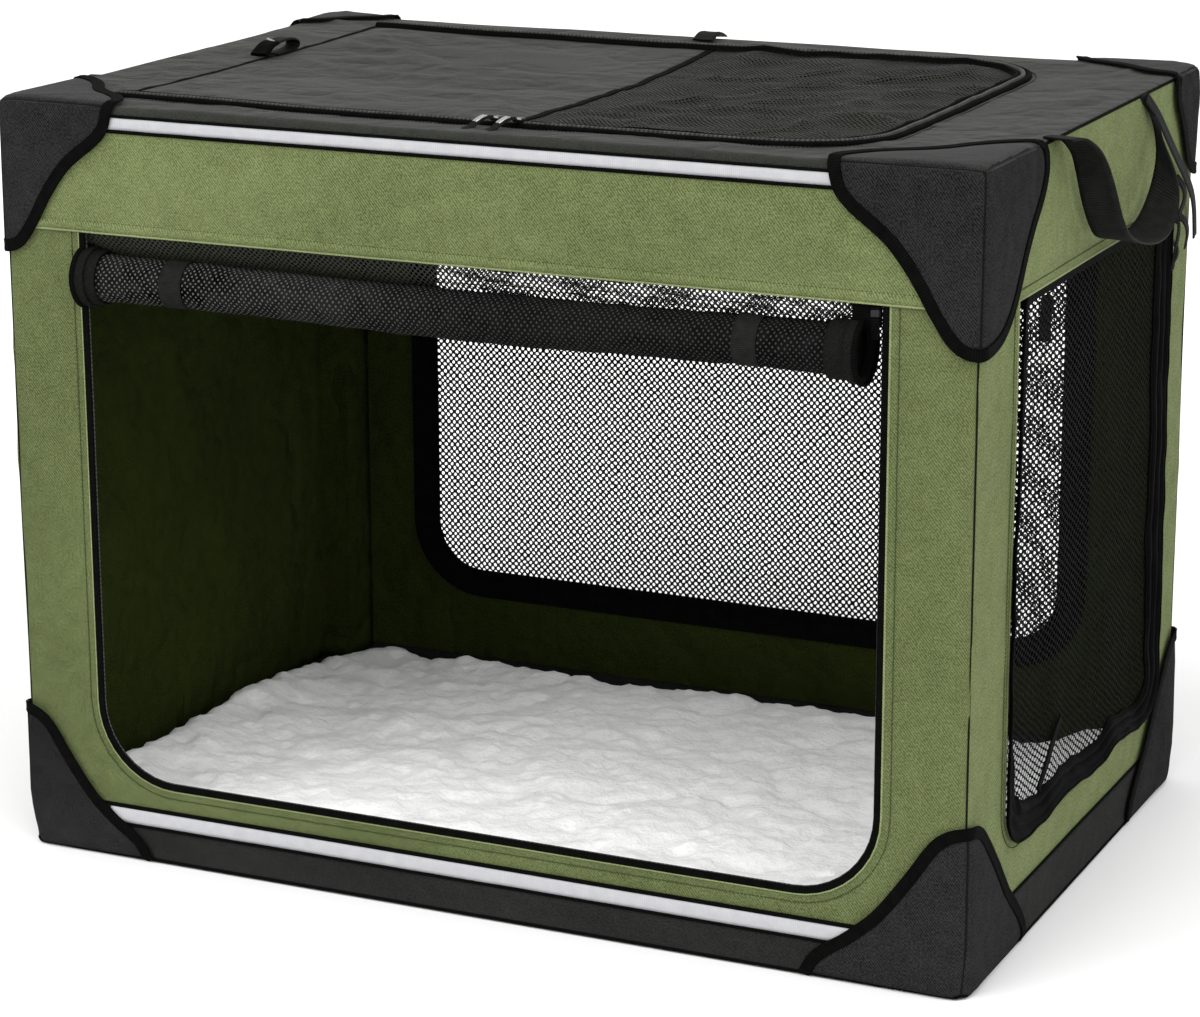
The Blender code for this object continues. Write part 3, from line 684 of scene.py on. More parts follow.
# The openings in the walls and the lid. The lid's door is hinged a little outside its opening.
DOORWAY = Opening(Face.FRONT, -0.441, 0.441, 0.084, 0.690, (0.090, 0.090, 0.0, 0.0))
WINDOW = Opening(Face.BACK, -0.405, 0.405, 0.130, 0.670, (0.070, 0.070, 0.0, 0.0))
END_DOORWAY = Opening(Face.RIGHT, -0.240, 0.264, 0.116, 0.668, (0.048, 0.046, 0.0, 0.0))
HATCH = Opening(Face.TOP, -0.432, 0.384, -0.285, 0.290, (0.0, 0.100, 0.100, 0.0))
HINGED = replace(HATCH, low_u=-0.435)


def uncovered(half: float, u: float, v: float) -> float:
    """None of a wall's slack under the corner guards and the base band, all of it well clear of them.

    Args:
        half: Half of the wall's length.
        u: The place along the face.
        v: The place up the face.

    Returns:
        A share from zero to one.
    """
    reach = half - abs(u) + min(v, HEIGHT - v)
    rows = clamp((v - 0.062) / 0.024) * clamp((HEIGHT - 0.014 - v) / 0.020)
    return clamp((reach - 0.165) / 0.070) * rows


# How far each layer stands out from the box.
WALL = -0.0050
HEADER = -0.0030
STRIP = -0.0022
GUARD = -0.0008
BINDING = 0.0004
LID = -0.0034
BAND = -0.0034


class Nodes:
    """Adds and links shader nodes in one tree."""

    def __init__(self, tree: Tree) -> None:
        """Keeps the tree and its shader, which a group has not."""
        self.tree = tree
        self.shader = tree.nodes.get("Principled BSDF")

    def add(self, kind: str, **settings: object) -> Node:
        """A new node of a kind, with its properties set.

        Args:
            kind: The node's type.
            **settings: Its properties.

        Returns:
            The node.
        """
        node = self.tree.nodes.new(kind)
        for key, value in settings.items():
            setattr(node, key, value)
        return node

    def feed(self, socket: Socket, value: object) -> None:
        """Links a socket to another, or sets its value.

        Args:
            socket: The input to feed.
            value: An output, or a plain value.
        """
        if isinstance(value, Socket):
            self.tree.links.new(value, socket)
        else:
            socket.default_value = value

    def shade(self, name: str, value: object) -> None:
        """Feeds an input of the shader."""
        self.feed(self.shader.inputs[name], value)

    def math(self, operation: str, *values: object, clamp: bool = False) -> Socket:
        """The output of a Math node.

        Args:
            operation: What the node does.
            *values: Its inputs.
            clamp: Whether it keeps to zero to one.

        Returns:
            The node's output.
        """
        node = self.add("ShaderNodeMath", operation=operation, use_clamp=clamp)
        for socket, value in zip(node.inputs, values):
            self.feed(socket, value)
        return node.outputs[0]

    def noise(self, vector: object, scale: object, detail: float = 3.0, rough: float = 0.5,
              output: str = "Fac") -> Socket:
        """An output of a Noise texture.

        Args:
            vector: Where the noise is read.
            scale: Its waves per metre, nearly.
            detail: Its octaves.
            rough: How strong the finer octaves are.
            output: The name of the output.

        Returns:
            The node's output.
        """
        node = self.add("ShaderNodeTexNoise")
        for name, value in (("Vector", vector), ("Scale", scale), ("Detail", detail), ("Roughness", rough)):
            self.feed(node.inputs[name], value)
        return node.outputs[output]

    def remap(self, value: object, low: float, high: float, to_low: float = 0.0,
              to_high: float = 1.0) -> Socket:
        """A clamped Map Range.

        Args:
            value: The number to map.
            low: Where the range starts.
            high: Where it ends.
            to_low: What its start becomes.
            to_high: What its end becomes.

        Returns:
            The node's output.
        """
        node = self.add("ShaderNodeMapRange")
        for name, number in (("From Min", low), ("From Max", high), ("To Min", to_low), ("To Max", to_high)):
            node.inputs[name].default_value = number
        self.feed(node.inputs["Value"], value)
        return node.outputs["Result"]

    def blend(self, factor: object, first: object, second: object) -> Socket:
        """A mix of two colours.

        Args:
            factor: The share of the second.
            first: The first colour.
            second: The second colour.

        Returns:
            The node's output.
        """
        node = self.add("ShaderNodeMix", data_type="RGBA")
        self.feed(node.inputs[0], factor)
        self.feed(node.inputs[6], first)
        self.feed(node.inputs[7], second)
        return node.outputs[2]

    def coordinates(self, output: str = "UV") -> Socket:
        """An output of the Texture Coordinate node."""
        return self.add("ShaderNodeTexCoord").outputs[output]

    def group(self, tree: Tree, **values: object) -> Node:
        """A node group with its inputs fed.

        Args:
            tree: The group.
            **values: What its inputs get.

        Returns:
            The node.
        """
        node = self.add("ShaderNodeGroup", node_tree=tree)
        for name, value in values.items():
            self.feed(node.inputs[name], value)
        return node


class Patterns:
    """The node groups that the finishes share. Each puts out masks, tones and heights."""

    def __init__(self) -> None:
        """Builds every group."""
        self.weave = self._weave()
        self.mottle = self._mottle()
        self.net = self._net()
        self.ribs = self._ribs()

    @staticmethod
    def _start(name: str, numbers: Sequence[str],
               outputs: Sequence[str]) -> tuple[Nodes, bpy.types.NodeOutputs, bpy.types.NodeInputs]:
        """Starts a group that takes a place.

        Args:
            name: The group's name.
            numbers: The numbers that it also takes.
            outputs: The numbers that it puts out.

        Returns:
            Its nodes, the sockets of what it takes, and those of what it puts out.
        """
        tree = bpy.data.node_groups.new(name, "ShaderNodeTree")
        tree.interface.new_socket("Place", in_out="INPUT", socket_type="NodeSocketVector")
        for way, keys in (("INPUT", numbers), ("OUTPUT", outputs)):
            for key in keys:
                tree.interface.new_socket(key, in_out=way, socket_type="NodeSocketFloat")
        nodes = Nodes(tree)
        return nodes, nodes.add("NodeGroupInput").outputs, nodes.add("NodeGroupOutput").inputs

    def _weave(self) -> Tree:
        """A twill with uneven yarns, which give the cloth its grain.

        Returns:
            The group, with the height of the yarns and the tone that goes with it.
        """
        nodes, given, out = self._start("Weave", ("Pitch",), ("Height", "Tone"))
        split = nodes.add("ShaderNodeSeparateXYZ")
        nodes.feed(split.inputs[0], given["Place"])
        diagonal = nodes.math("ADD", split.outputs[0], nodes.math("MULTIPLY", split.outputs[1], 0.8))
        turns = nodes.math("DIVIDE", diagonal, given["Pitch"])
        twill = nodes.math("SINE", nodes.math("MULTIPLY", turns, tau))
        yarns = nodes.noise(given["Place"], nodes.math("DIVIDE", 1.3, given["Pitch"]), 3.0, 0.7)
        height = nodes.math("ADD", nodes.math("MULTIPLY", twill, 0.10), yarns)
        nodes.feed(out["Height"], height)
        nodes.feed(out["Tone"], nodes.remap(height, 0.42, 0.58))
        return nodes.tree

    def _mottle(self) -> Tree:
        """Broad uneven tone, and soft wrinkles.

        Returns:
            The group, with the tone and the height of the wrinkles.
        """
        nodes, given, out = self._start("Mottle", (), ("Tone", "Height"))
        broad = nodes.noise(given["Place"], 5.0, 2.0)
        fine = nodes.noise(given["Place"], 60.0, 4.0, 0.6)
        tone = nodes.math("ADD", nodes.math("MULTIPLY", broad, 0.55), nodes.math("MULTIPLY", fine, 0.45))
        nodes.feed(out["Tone"], nodes.remap(tone, 0.34, 0.66))
        waves = nodes.noise(given["Place"], 9.0, 3.0, 0.55)
        wrinkle = nodes.math("ABSOLUTE", nodes.math("SUBTRACT", waves, 0.5))
        nodes.feed(out["Height"], nodes.remap(wrinkle, 0.0, 0.12))
        return nodes.tree

    def _net(self) -> Tree:
        """A knitted net with holes in rows that are set off by half a step.

        Returns:
            The group, with a mask that is one on the threads, and their height.
        """
        nodes, given, out = self._start("Net", ("Pitch", "Hole"), ("Thread", "Height"))
        shifted = nodes.add("ShaderNodeVectorMath", operation="MULTIPLY_ADD")
        nodes.feed(shifted.inputs[0], nodes.noise(given["Place"], 75.0, 1.0, output="Color"))
        shifted.inputs[1].default_value = (0.0040, 0.0040, 0.0040)
        nodes.feed(shifted.inputs[2], given["Place"])
        split = nodes.add("ShaderNodeSeparateXYZ")
        nodes.feed(split.inputs[0], shifted.outputs[0])
        u = nodes.math("DIVIDE", split.outputs[0], given["Pitch"])
        v = nodes.math("DIVIDE", split.outputs[1], nodes.math("MULTIPLY", given["Pitch"], 1.06))
        squares = []
        for shift in (0.0, 0.5):
            du = nodes.math("SUBTRACT", nodes.math("FRACT", nodes.math("ADD", u, shift)), 0.5)
            dv = nodes.math("SUBTRACT", nodes.math("FRACT", nodes.math("ADD", v, shift)), 0.5)
            squares.append(nodes.math("ADD", nodes.math("MULTIPLY", du, du), nodes.math("MULTIPLY", dv, dv)))
        distance = nodes.math("SQRT", nodes.math("MINIMUM", *squares))
        nodes.feed(out["Thread"], nodes.math("GREATER_THAN", distance, given["Hole"]))
        nodes.feed(out["Height"], nodes.remap(distance, 0.2, 0.5))
        return nodes.tree

    def _ribs(self) -> Tree:
        """Ribs across a tape, and the lengthwise lines of its yarns.

        Returns:
            The group, with the height of the ribs and a tone that is lighter on their crests: painted
            highlight, broken up by random yarn tone.
        """
        nodes, given, out = self._start("Ribs", ("Pitch",), ("Height", "Tone"))
        split = nodes.add("ShaderNodeSeparateXYZ")
        nodes.feed(split.inputs[0], given["Place"])
        turns = nodes.math("DIVIDE", split.outputs[0], given["Pitch"])
        across = nodes.math("ABSOLUTE", nodes.math("SINE", nodes.math("MULTIPLY", turns, pi)))
        lines = nodes.math("ABSOLUTE", nodes.math("SINE", nodes.math("MULTIPLY", split.outputs[1], 1900.0)))
        height = nodes.math("ADD", nodes.math("MULTIPLY", across, 0.7), nodes.math("MULTIPLY", lines, 0.3))
        nodes.feed(out["Height"], height)
        # Painted highlight: the tone follows the height, lighter on the crests of the ribs, times random yarn
        # tone.
        nodes.feed(out["Tone"], nodes.math("MULTIPLY", height, nodes.noise(given["Place"], 90.0)))
        return nodes.tree


Colour = tuple[float, float, float]


@dataclass(frozen=True)
class Finish:
    """A plain finish with a little uneven tone: moulded plastic or coated steel."""

    name: str
    slot: Slot
    colour: Colour
    shade: Colour
    roughness: float
    metallic: float = 0.0
    specular: float = 0.5

    def build(self, patterns: Patterns) -> bpy.types.Material:
        """Makes the material.

        Args:
            patterns: The shared node groups.

        Returns:
            The material.
        """
        made = bpy.data.materials.new(self.name)
        made.use_nodes = True
        nodes = Nodes(made.node_tree)
        nodes.shade("Metallic", self.metallic)
        nodes.shade("Specular IOR Level", self.specular)
        self.dress(nodes, patterns)
        return made

    def tint(self, nodes: Nodes, tone: object) -> None:
        """Feeds the base colour with a mix of the finish's two colours."""
        nodes.shade("Base Color", nodes.blend(tone, (*self.shade, 1.0), (*self.colour, 1.0)))

    def bump(self, nodes: Nodes, height: object, depth: float, under: Socket | None = None) -> Socket:
        """Feeds the normal with a height that stands a depth out, in metres.

        Args:
            nodes: Adds to the material's tree.
            height: The height, from zero to one.
            depth: How far one stands out.
            under: The normal that it adds to.

        Returns:
            The normal.
        """
        node = nodes.add("ShaderNodeBump")
        node.inputs["Strength"].default_value = 1.0
        node.inputs["Distance"].default_value = depth
        nodes.feed(node.inputs["Height"], height)
        if under:
            nodes.feed(node.inputs["Normal"], under)
        nodes.shade("Normal", node.outputs["Normal"])
        return node.outputs["Normal"]

    def dress(self, nodes: Nodes, patterns: Patterns) -> None:
        """Adds the pattern of a plain finish.

        Args:
            nodes: Adds to the material's tree.
            patterns: The shared node groups.
        """
        mottle = nodes.group(patterns.mottle, Place=nodes.coordinates("Object"))
        self.tint(nodes, mottle.outputs["Tone"])
        rough = nodes.remap(mottle.outputs["Tone"], 0.0, 1.0, self.roughness * 1.15, self.roughness * 0.85)
        nodes.shade("Roughness", rough)
        self.bump(nodes, nodes.noise(nodes.coordinates("Object"), 900.0, 2.0), 0.00006)


@dataclass(frozen=True)
class Cloth(Finish):
    """Woven cloth with soft wrinkles."""

    specular: float = 0.22
    pitch: float = 0.0031
    grain: float = 0.00055
    wrinkle: float = 0.0012
    sheen: float = 0.05

    def dress(self, nodes: Nodes, patterns: Patterns) -> None:
        """Adds the weave, the uneven tone and the wrinkles.

        Args:
            nodes: Adds to the material's tree.
            patterns: The shared node groups.
        """
        nodes.shade("Sheen Weight", self.sheen)
        nodes.shade("Sheen Roughness", 0.45)
        weave = nodes.group(patterns.weave, Place=nodes.coordinates(), Pitch=self.pitch)
        mottle = nodes.group(patterns.mottle, Place=nodes.coordinates("Object"))
        tone = nodes.math("ADD", nodes.math("MULTIPLY", weave.outputs["Tone"], 0.62),
                          nodes.math("MULTIPLY", mottle.outputs["Tone"], 0.38), clamp=True)
        self.tint(nodes, tone)
        nodes.shade("Roughness", nodes.remap(tone, 0.0, 1.0, self.roughness + 0.06, self.roughness - 0.06))
        under = self.bump(nodes, mottle.outputs["Height"], self.wrinkle)
        self.bump(nodes, weave.outputs["Height"], self.grain, under)


@dataclass(frozen=True)
class Net(Finish):
    """Knitted net, with holes to look through unless it is closed."""

    specular: float = 0.05
    pitch: float = 0.0078
    hole: float = 0.235
    closed: bool = False
    wrinkle: float = 0.0
    # Painted shade: how much of the light tone is taken away towards the right, along object X.
    right_painted_shade: float = 0.0

    def dress(self, nodes: Nodes, patterns: Patterns) -> None:
        """Adds the threads, and the holes between them.

        Args:
            nodes: Adds to the material's tree.
            patterns: The shared node groups.
        """
        net = nodes.group(patterns.net, Place=nodes.coordinates(), Pitch=self.pitch, Hole=self.hole)
        mottle = nodes.group(patterns.mottle, Place=nodes.coordinates("Object"))
        thread = net.outputs["Thread"]
        tone = nodes.math("MULTIPLY", thread, nodes.remap(mottle.outputs["Tone"], 0.0, 1.0, 0.75, 1.0))
        # Painted shade: the light tone is painted darker from x = -0.32 to x = 0.05.
        if self.right_painted_shade:
            place = nodes.add("ShaderNodeSeparateXYZ")
            nodes.feed(place.inputs[0], nodes.coordinates("Object"))
            keep = nodes.remap(place.outputs[0], -0.32, 0.05, 1.0, 1.0 - self.right_painted_shade)
            tone = nodes.math(
                "SUBTRACT", 1.0, nodes.math("MULTIPLY", nodes.math("SUBTRACT", 1.0, tone), keep))
        self.tint(nodes, tone)
        nodes.shade("Roughness", nodes.remap(tone, 0.0, 1.0, 1.0, self.roughness))
        if not self.closed:
            nodes.shade("Alpha", thread)
        under = self.bump(nodes, mottle.outputs["Height"], self.wrinkle) if self.wrinkle else None
        self.bump(nodes, net.outputs["Height"], 0.0006, under)


@dataclass(frozen=True)
class Ribbed(Finish):
    """Webbing, binding tape or zip coil, with ribs across it."""

    specular: float = 0.15
    pitch: float = 0.0016
    depth: float = 0.00035

    def dress(self, nodes: Nodes, patterns: Patterns) -> None:
        """Adds the ribs.

        Args:
            nodes: Adds to the material's tree.
            patterns: The shared node groups.
        """
        ribs = nodes.group(patterns.ribs, Place=nodes.coordinates(), Pitch=self.pitch)
        self.tint(nodes, ribs.outputs["Tone"])
        nodes.shade("Roughness",
                    nodes.remap(ribs.outputs["Tone"], 0.0, 0.6, self.roughness + 0.1, self.roughness))
        self.bump(nodes, ribs.outputs["Height"], self.depth)


@dataclass(frozen=True)
class Pile(Finish):
    """Curly fleece."""

    def dress(self, nodes: Nodes, patterns: Patterns) -> None:
        """Adds the curls of the pile.

        Args:
            nodes: Adds to the material's tree.
            patterns: The shared node groups.
        """
        nodes.shade("Sheen Weight", 0.4)
        nodes.shade("Sheen Roughness", 0.6)
        place = nodes.coordinates("Object")
        curls = nodes.noise(place, 130.0, 4.0, 0.65)
        clumps = nodes.noise(place, 34.0, 3.0)
        tone = nodes.math("ADD", nodes.math("MULTIPLY", curls, 0.6), nodes.math("MULTIPLY", clumps, 0.4))
        self.tint(nodes, nodes.remap(tone, 0.3, 0.62))
        nodes.shade("Roughness", nodes.remap(curls, 0.0, 1.0, 1.0, self.roughness))
        self.bump(nodes, curls, 0.0022, self.bump(nodes, clumps, 0.003))


def grey(tone: float) -> Colour:
    """A neutral colour."""
    return (tone, tone, tone)


FINISHES: dict[str, Finish] = {finish.name: finish for finish in (
    Cloth("green", Slot.GREEN, (0.184, 0.218, 0.092), (0.054, 0.070, 0.022), 0.86, specular=0.10, sheen=0.02),
    # A darker copy of the green cloth for the front wall: painted shade, as the header above it stands out
    # into more light.
    Cloth("green_painted_shade", Slot.GREEN, (0.148, 0.177, 0.074), (0.044, 0.057, 0.018), 0.86, specular=0.10,
          sheen=0.02),
    # A lighter copy of the green cloth for the rolled edges: a painted highlight along them.
    Cloth("green_edge_highlight", Slot.GREEN, (0.270, 0.310, 0.150), (0.130, 0.158, 0.064), 0.80, specular=0.12,
          sheen=0.02),
    Cloth("green_thread", Slot.GREEN, (0.050, 0.066, 0.022), (0.030, 0.040, 0.012), 0.80, specular=0.10),
    Cloth("lining", Slot.LINING, (0.032, 0.041, 0.009), (0.007, 0.010, 0.002), 0.90, specular=0.02, sheen=0.0,
          wrinkle=0.0040),
    Cloth("charcoal", Slot.CHARCOAL, (0.031, 0.033, 0.027), (0.006, 0.007, 0.005), 0.80, specular=0.18,
          sheen=0.07, wrinkle=0.0030),
    Cloth("band", Slot.CHARCOAL, (0.027, 0.028, 0.026), grey(0.009), 0.85, specular=0.04, sheen=0.0,
          wrinkle=0.0020),
    Cloth("guard", Slot.CHARCOAL, grey(0.030), grey(0.004), 0.85, specular=0.02, sheen=0.0, wrinkle=0.0018),
    Cloth("guard_top", Slot.CHARCOAL, (0.028, 0.029, 0.027), grey(0.005), 0.82, specular=0.13, sheen=0.05),
    Cloth("black_thread", Slot.WEBBING, grey(0.006), grey(0.002), 0.70, specular=0.05),
    Net("net", Slot.MESH, grey(0.005), grey(0.002), 0.75),
    Net("fine_net", Slot.MESH, (0.020, 0.020, 0.018), grey(0.001), 0.52, specular=0.13, pitch=0.0058,
        wrinkle=0.0040),
    Net("end_net", Slot.MESH, grey(0.003), grey(0.001), 0.75, specular=0.03, hole=0.278),
    # A lighter copy of the black net for the net that hangs over the roll: painted light on its threads.
    Net("veil_net", Slot.MESH, (0.050, 0.051, 0.048), grey(0.0005), 0.75, pitch=0.0060, hole=0.265),
    # The rolled net is black. The light tone in its holes paints small highlights on the thread crossings,
    # and painted shade darkens them towards the right.
    Net("rolled_net", Slot.MESH, grey(0.0003), (0.092, 0.093, 0.089), 0.70, specular=0.006, pitch=0.0062,
        hole=0.165, right_painted_shade=0.62, closed=True),
    Ribbed("binding", Slot.WEBBING, (0.0065, 0.0065, 0.006), grey(0.0006), 0.72, specular=0.022,
           pitch=0.0026),
    Ribbed("ruffle", Slot.WEBBING, grey(0.0030), grey(0.0005), 0.56, specular=0.018),
    Cloth("hem", Slot.CHARCOAL, (0.010, 0.011, 0.009), grey(0.002), 0.75, specular=0.05, sheen=0.0,
          wrinkle=0.0014),
    # The webbing's lighter rib crests are painted highlights.
    Ribbed("webbing", Slot.WEBBING, (0.021, 0.021, 0.020), grey(0.002), 0.62, specular=0.07, pitch=0.0034,
           depth=0.0006),
    Ribbed("strap", Slot.WEBBING, (0.023, 0.024, 0.022), grey(0.004), 0.70, specular=0.06, pitch=0.0026),
    # The zip coil is much lighter than the black tape round it: painted highlights on its teeth.
    Ribbed("coil", Slot.WEBBING, (0.125, 0.125, 0.118), grey(0.001), 0.45, specular=0.12, pitch=0.0048,
           depth=0.0009),
    Ribbed("tape", Slot.TAPE, (0.54, 0.54, 0.55), (0.38, 0.38, 0.40), 0.42, pitch=0.0020, depth=0.00008),
    Pile("fleece", Slot.FLEECE, (0.98, 0.98, 0.975), (0.88, 0.885, 0.87), 0.95),
    Finish("steel", Slot.STEEL, (0.045, 0.045, 0.048), (0.030, 0.030, 0.032), 0.42, 0.6),
    Finish("rivet", Slot.RIVET, (0.62, 0.62, 0.61), grey(0.45), 0.33, 1.0),
    Finish("plastic", Slot.PLASTIC, (0.012, 0.012, 0.013), grey(0.005), 0.40),
    Finish("slider", Slot.ZIP, (0.020, 0.020, 0.021), grey(0.010), 0.32, 0.5),
    Finish("bare_metal", Slot.ZIP, grey(0.55), grey(0.38), 0.30, 1.0),
)}


@dataclass(frozen=True)
class Seat:
    """The CAD body that a piece rides on, and the plane that it would flatten towards as the crate folds."""

    body: str
    fold: Fold = Fold.RIGID


SOFT_BASE = Seat("base", Fold.FLOOR)
FIRM_BASE = Seat("base")
SOFT_TOP = Seat("top", Fold.LID)
FIRM_TOP = Seat("top")
LID_DOOR = Seat("top_door_body")
END_PANEL = Seat("end_door_body", Fold.FLOOR)


class Workshop:
    """Turns meshes into finished pieces and puts them on the frame's bodies."""

    def __init__(self) -> None:
        """Starts with no materials made."""
        self.patterns = Patterns()
        self.made: dict[str, bpy.types.Material] = {}

    def material(self, name: str) -> bpy.types.Material:
        """The material of a finish, made once.

        Args:
            name: The finish's name.

        Returns:
            The material.
        """
        if name not in self.made:
            self.made[name] = FINISHES[name].build(self.patterns)
        return self.made[name]


@dataclass(frozen=True)
class Assembly:
    """A part of the crate, which holds its sizes and makes its pieces in the workshop."""

    shop: Workshop

    def build(self) -> None:
        """Builds the pieces."""
        raise NotImplementedError

    def add(self, name: str, mesh: Mesh, finish: str, seat: Seat = SOFT_BASE, replaces: Sequence[str] = (),
            thick: float = 0.0, back: str | None = None, crease: float = 50.0,
            others: Sequence[str] = ()) -> Piece:
        """Makes a piece.

        Args:
            name: The piece's name.
            mesh: Its mesh, which is freed.
            finish: The name of its finish.
            seat: The body that it rides on, and the way it would fold; a piece that folds gets a mesh of its
                own.
            replaces: The CAD nodes it stands for.
            thick: The thickness given to a sheet, inward from its face.
            back: The finish of a sheet's back, if it is another.
            crease: The angle in degrees over which an edge is sharp.
            others: Finishes of the faces with a material index of one and up.

        Returns:
            The object.
        """
        data = bpy.data.meshes.new(name)
        mesh.to_mesh(data)
        mesh.free()
        data.shade_smooth()
        data.set_sharp_from_angle(angle=radians(crease))
        piece = bpy.data.objects.new(name, data)
        bpy.context.scene.collection.objects.link(piece)
        data.materials.append(self.shop.material(finish))
        for other in others:
            data.materials.append(self.shop.material(other))
        if thick:
            solid = piece.modifiers.new("Thickness", "SOLIDIFY")
            solid.thickness = thick
            solid.offset = -1.0
            if back:
                data.materials.append(self.shop.material(back))
                solid.material_offset = 1
        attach(piece, seat.body)
        if replaces:
            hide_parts(*replaces)
        if seat.fold is not Fold.RIGID:
            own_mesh(piece)
        log.info("%s: %d faces, %s", name, len(data.polygons), finish)
        return piece

    def sew(self, name: str, line: Line, profile: Profile, finish: str, seat: Seat = SOFT_BASE,
            ring: bool = False, replaces: Sequence[str] = ()) -> Piece:
        """Makes a piece that follows a line, such as a tape, a cord or a seam.

        Args:
            name: The piece's name.
            line: The stations that it follows.
            profile: Its section.
            finish: The name of its finish.
            seat: The body that it rides on, and the way it would fold.
            ring: Whether the line closes on itself.
            replaces: The CAD nodes it stands for.

        Returns:
            The object.
        """
        return self.add(name, swept(line, profile, ring), finish, seat, replaces)


@dataclass(frozen=True)
class Skeleton(Assembly):
    """The steel frame, which stays as the CAD has it and gets its finishes."""

    nodes: dict[str, Piece]
    finishes: tuple[tuple[str, str], ...] = (("_rail", "steel"), ("_post", "steel"), ("_block", "plastic"),
                                             ("_rivet", "rivet"))

    def build(self) -> None:
        """Gives each CAD node that stays a procedural material."""
        for name, node in self.nodes.items():
            for ending, finish in self.finishes:
                if name.endswith(ending):
                    node.data.materials.clear()
                    node.data.materials.append(self.shop.material(finish))


# Depth, place, lean and half width of each fold that a carry handle draws.
HANDLE_FOLDS = ((0.0040, -0.070, 0.70, 0.030), (0.0036, 0.085, -0.45, 0.028), (0.0028, 0.215, -0.20, 0.024))


@dataclass(frozen=True)
class Walls(Assembly):
    """The green walls with their openings, and the seams down the crate's edges."""

    low: float = 0.030
    seam_depth: float = 0.0006
    stitch_offset: float = 0.0095

    @staticmethod
    def tug(u: float, v: float) -> float:
        """The depth of the folds that a carry handle draws in an end wall.

        Args:
            u: The place along the face.
            v: The place up the face.

        Returns:
            The depth.
        """
        down = 0.80 - v
        folds = sum(depth * bell((u - at - lean * down) / width) for depth, at, lean, width in HANDLE_FOLDS)
        return folds * bell((down - 0.062) / 0.072) ** 0.5

    def relief(self, seed: float, half: float) -> PanelRelief:
        """The wrinkles of a panel, with a groove and puckers along its stitched edge.

        Args:
            seed: Tells one wall from another.
            half: Half of the wall's length.

        Returns:
            Gives the extra height at a place.
        """

        def height(u: float, v: float, distance: float) -> float:
            """Extra height at a place.

            Args:
                u: The place along the face.
                v: The place up the face.
                distance: How far it is from the opening's edge.

            Returns:
                The height.
            """
            point = Vector((u, v, seed))
            groove = exp(-(((distance - self.stitch_offset) / 0.0035) ** 2))
            pucker = 0.0006 * ripple(point, 62.0, seed) * exp(-distance / 0.03)
            slack = 0.0022 * creases(Vector((u, 0.4 * v + 0.5 * u, seed)), 7.5, seed)
            slack += 0.0012 * ripple(point, 13.0, seed)
            lift = 0.0008 * exp(-distance / 0.0035)
            if half == HALF_Y:
                slack -= self.tug(u, v)
            slack *= min(distance / 0.03, 1.0) * uncovered(half, u, v)
            return lift + pucker + slack - self.seam_depth * groove

        return height

    def build(self) -> None:
        """Builds the four walls and their trims."""
        rows = (self.low, HEIGHT - 0.010)
        for name, opening, half, top, seed, finish in (
                # The front wall takes the darker copy of the green cloth, which paints shade on it.
                ("front", DOORWAY, HALF_X, rows[1], 1.0, "green_painted_shade"),
                ("right", END_DOORWAY, HALF_Y, HEIGHT, 2.0, "green"),
                ("back", WINDOW, HALF_X, rows[1], 3.0, "green")):
            panel = Panel(opening, (-half, half, self.low, top), WALL)
            piece = self.add(f"{name}_wall_cloth", panel.mesh(self.relief(seed, half)), finish,
                             replaces=[f"{name}_wall"], thick=CLOTH_THICK, back="lining")
        plain = self.relief(4.0, HALF_Y)
        left = patch(Face.LEFT, (-HALF_Y, HALF_Y, self.low, HEIGHT), WALL, lambda u, v: plain(u, v, 1.0))
        piece = self.add("left_wall_cloth", left, "green", replaces=["left_wall"], thick=CLOTH_THICK,
                         back="lining")
        for x_sign, side in ((-1, "left"), (1, "right")):
            for y_sign, face in ((-1, "front"), (1, "back")):
                points = [Vector((x_sign * HALF_X, y_sign * HALF_Y, z)) for z in evenly(0.04, 0.80, 40)]
                line = Shell.trace(points, WALL + 0.0002)
                self.sew(f"{face}_{side}_edge_seam", line, cord(0.0011), "black_thread")
        for name, opening in (("doorway", DOORWAY), ("end_doorway", END_DOORWAY), ("window", WINDOW)):
            self.dress(name, opening)

    def dress(self, name: str, opening: Opening) -> None:
        """Adds the rolled edge and the stitches round an opening.

        Args:
            name: The opening's name.
            opening: The opening.
        """
        edge = opening.seam(0.0006, WALL + 0.0006)
        # The rolled edge is drawn in a lighter green, which paints the highlight along it.
        self.sew(f"{name}_edge", edge, cord(0.0012, 6), "green_edge_highlight", ring=True)
        seam = opening.seam(self.stitch_offset, WALL + 0.0002)
        self.add(f"{name}_stitches", stitched(seam, ring=True), "green_thread")
        if opening is DOORWAY:
            zip_line = opening.seam(-0.0034, WALL - 0.0006)
            self.sew("doorway_zip", zip_line, band(0.0078, 0.0024), "binding", ring=True)
            coil = opening.seam(-0.0070, WALL - 0.0012)
            self.sew("doorway_coil", coil, cord(0.0011, 6), "coil", ring=True)


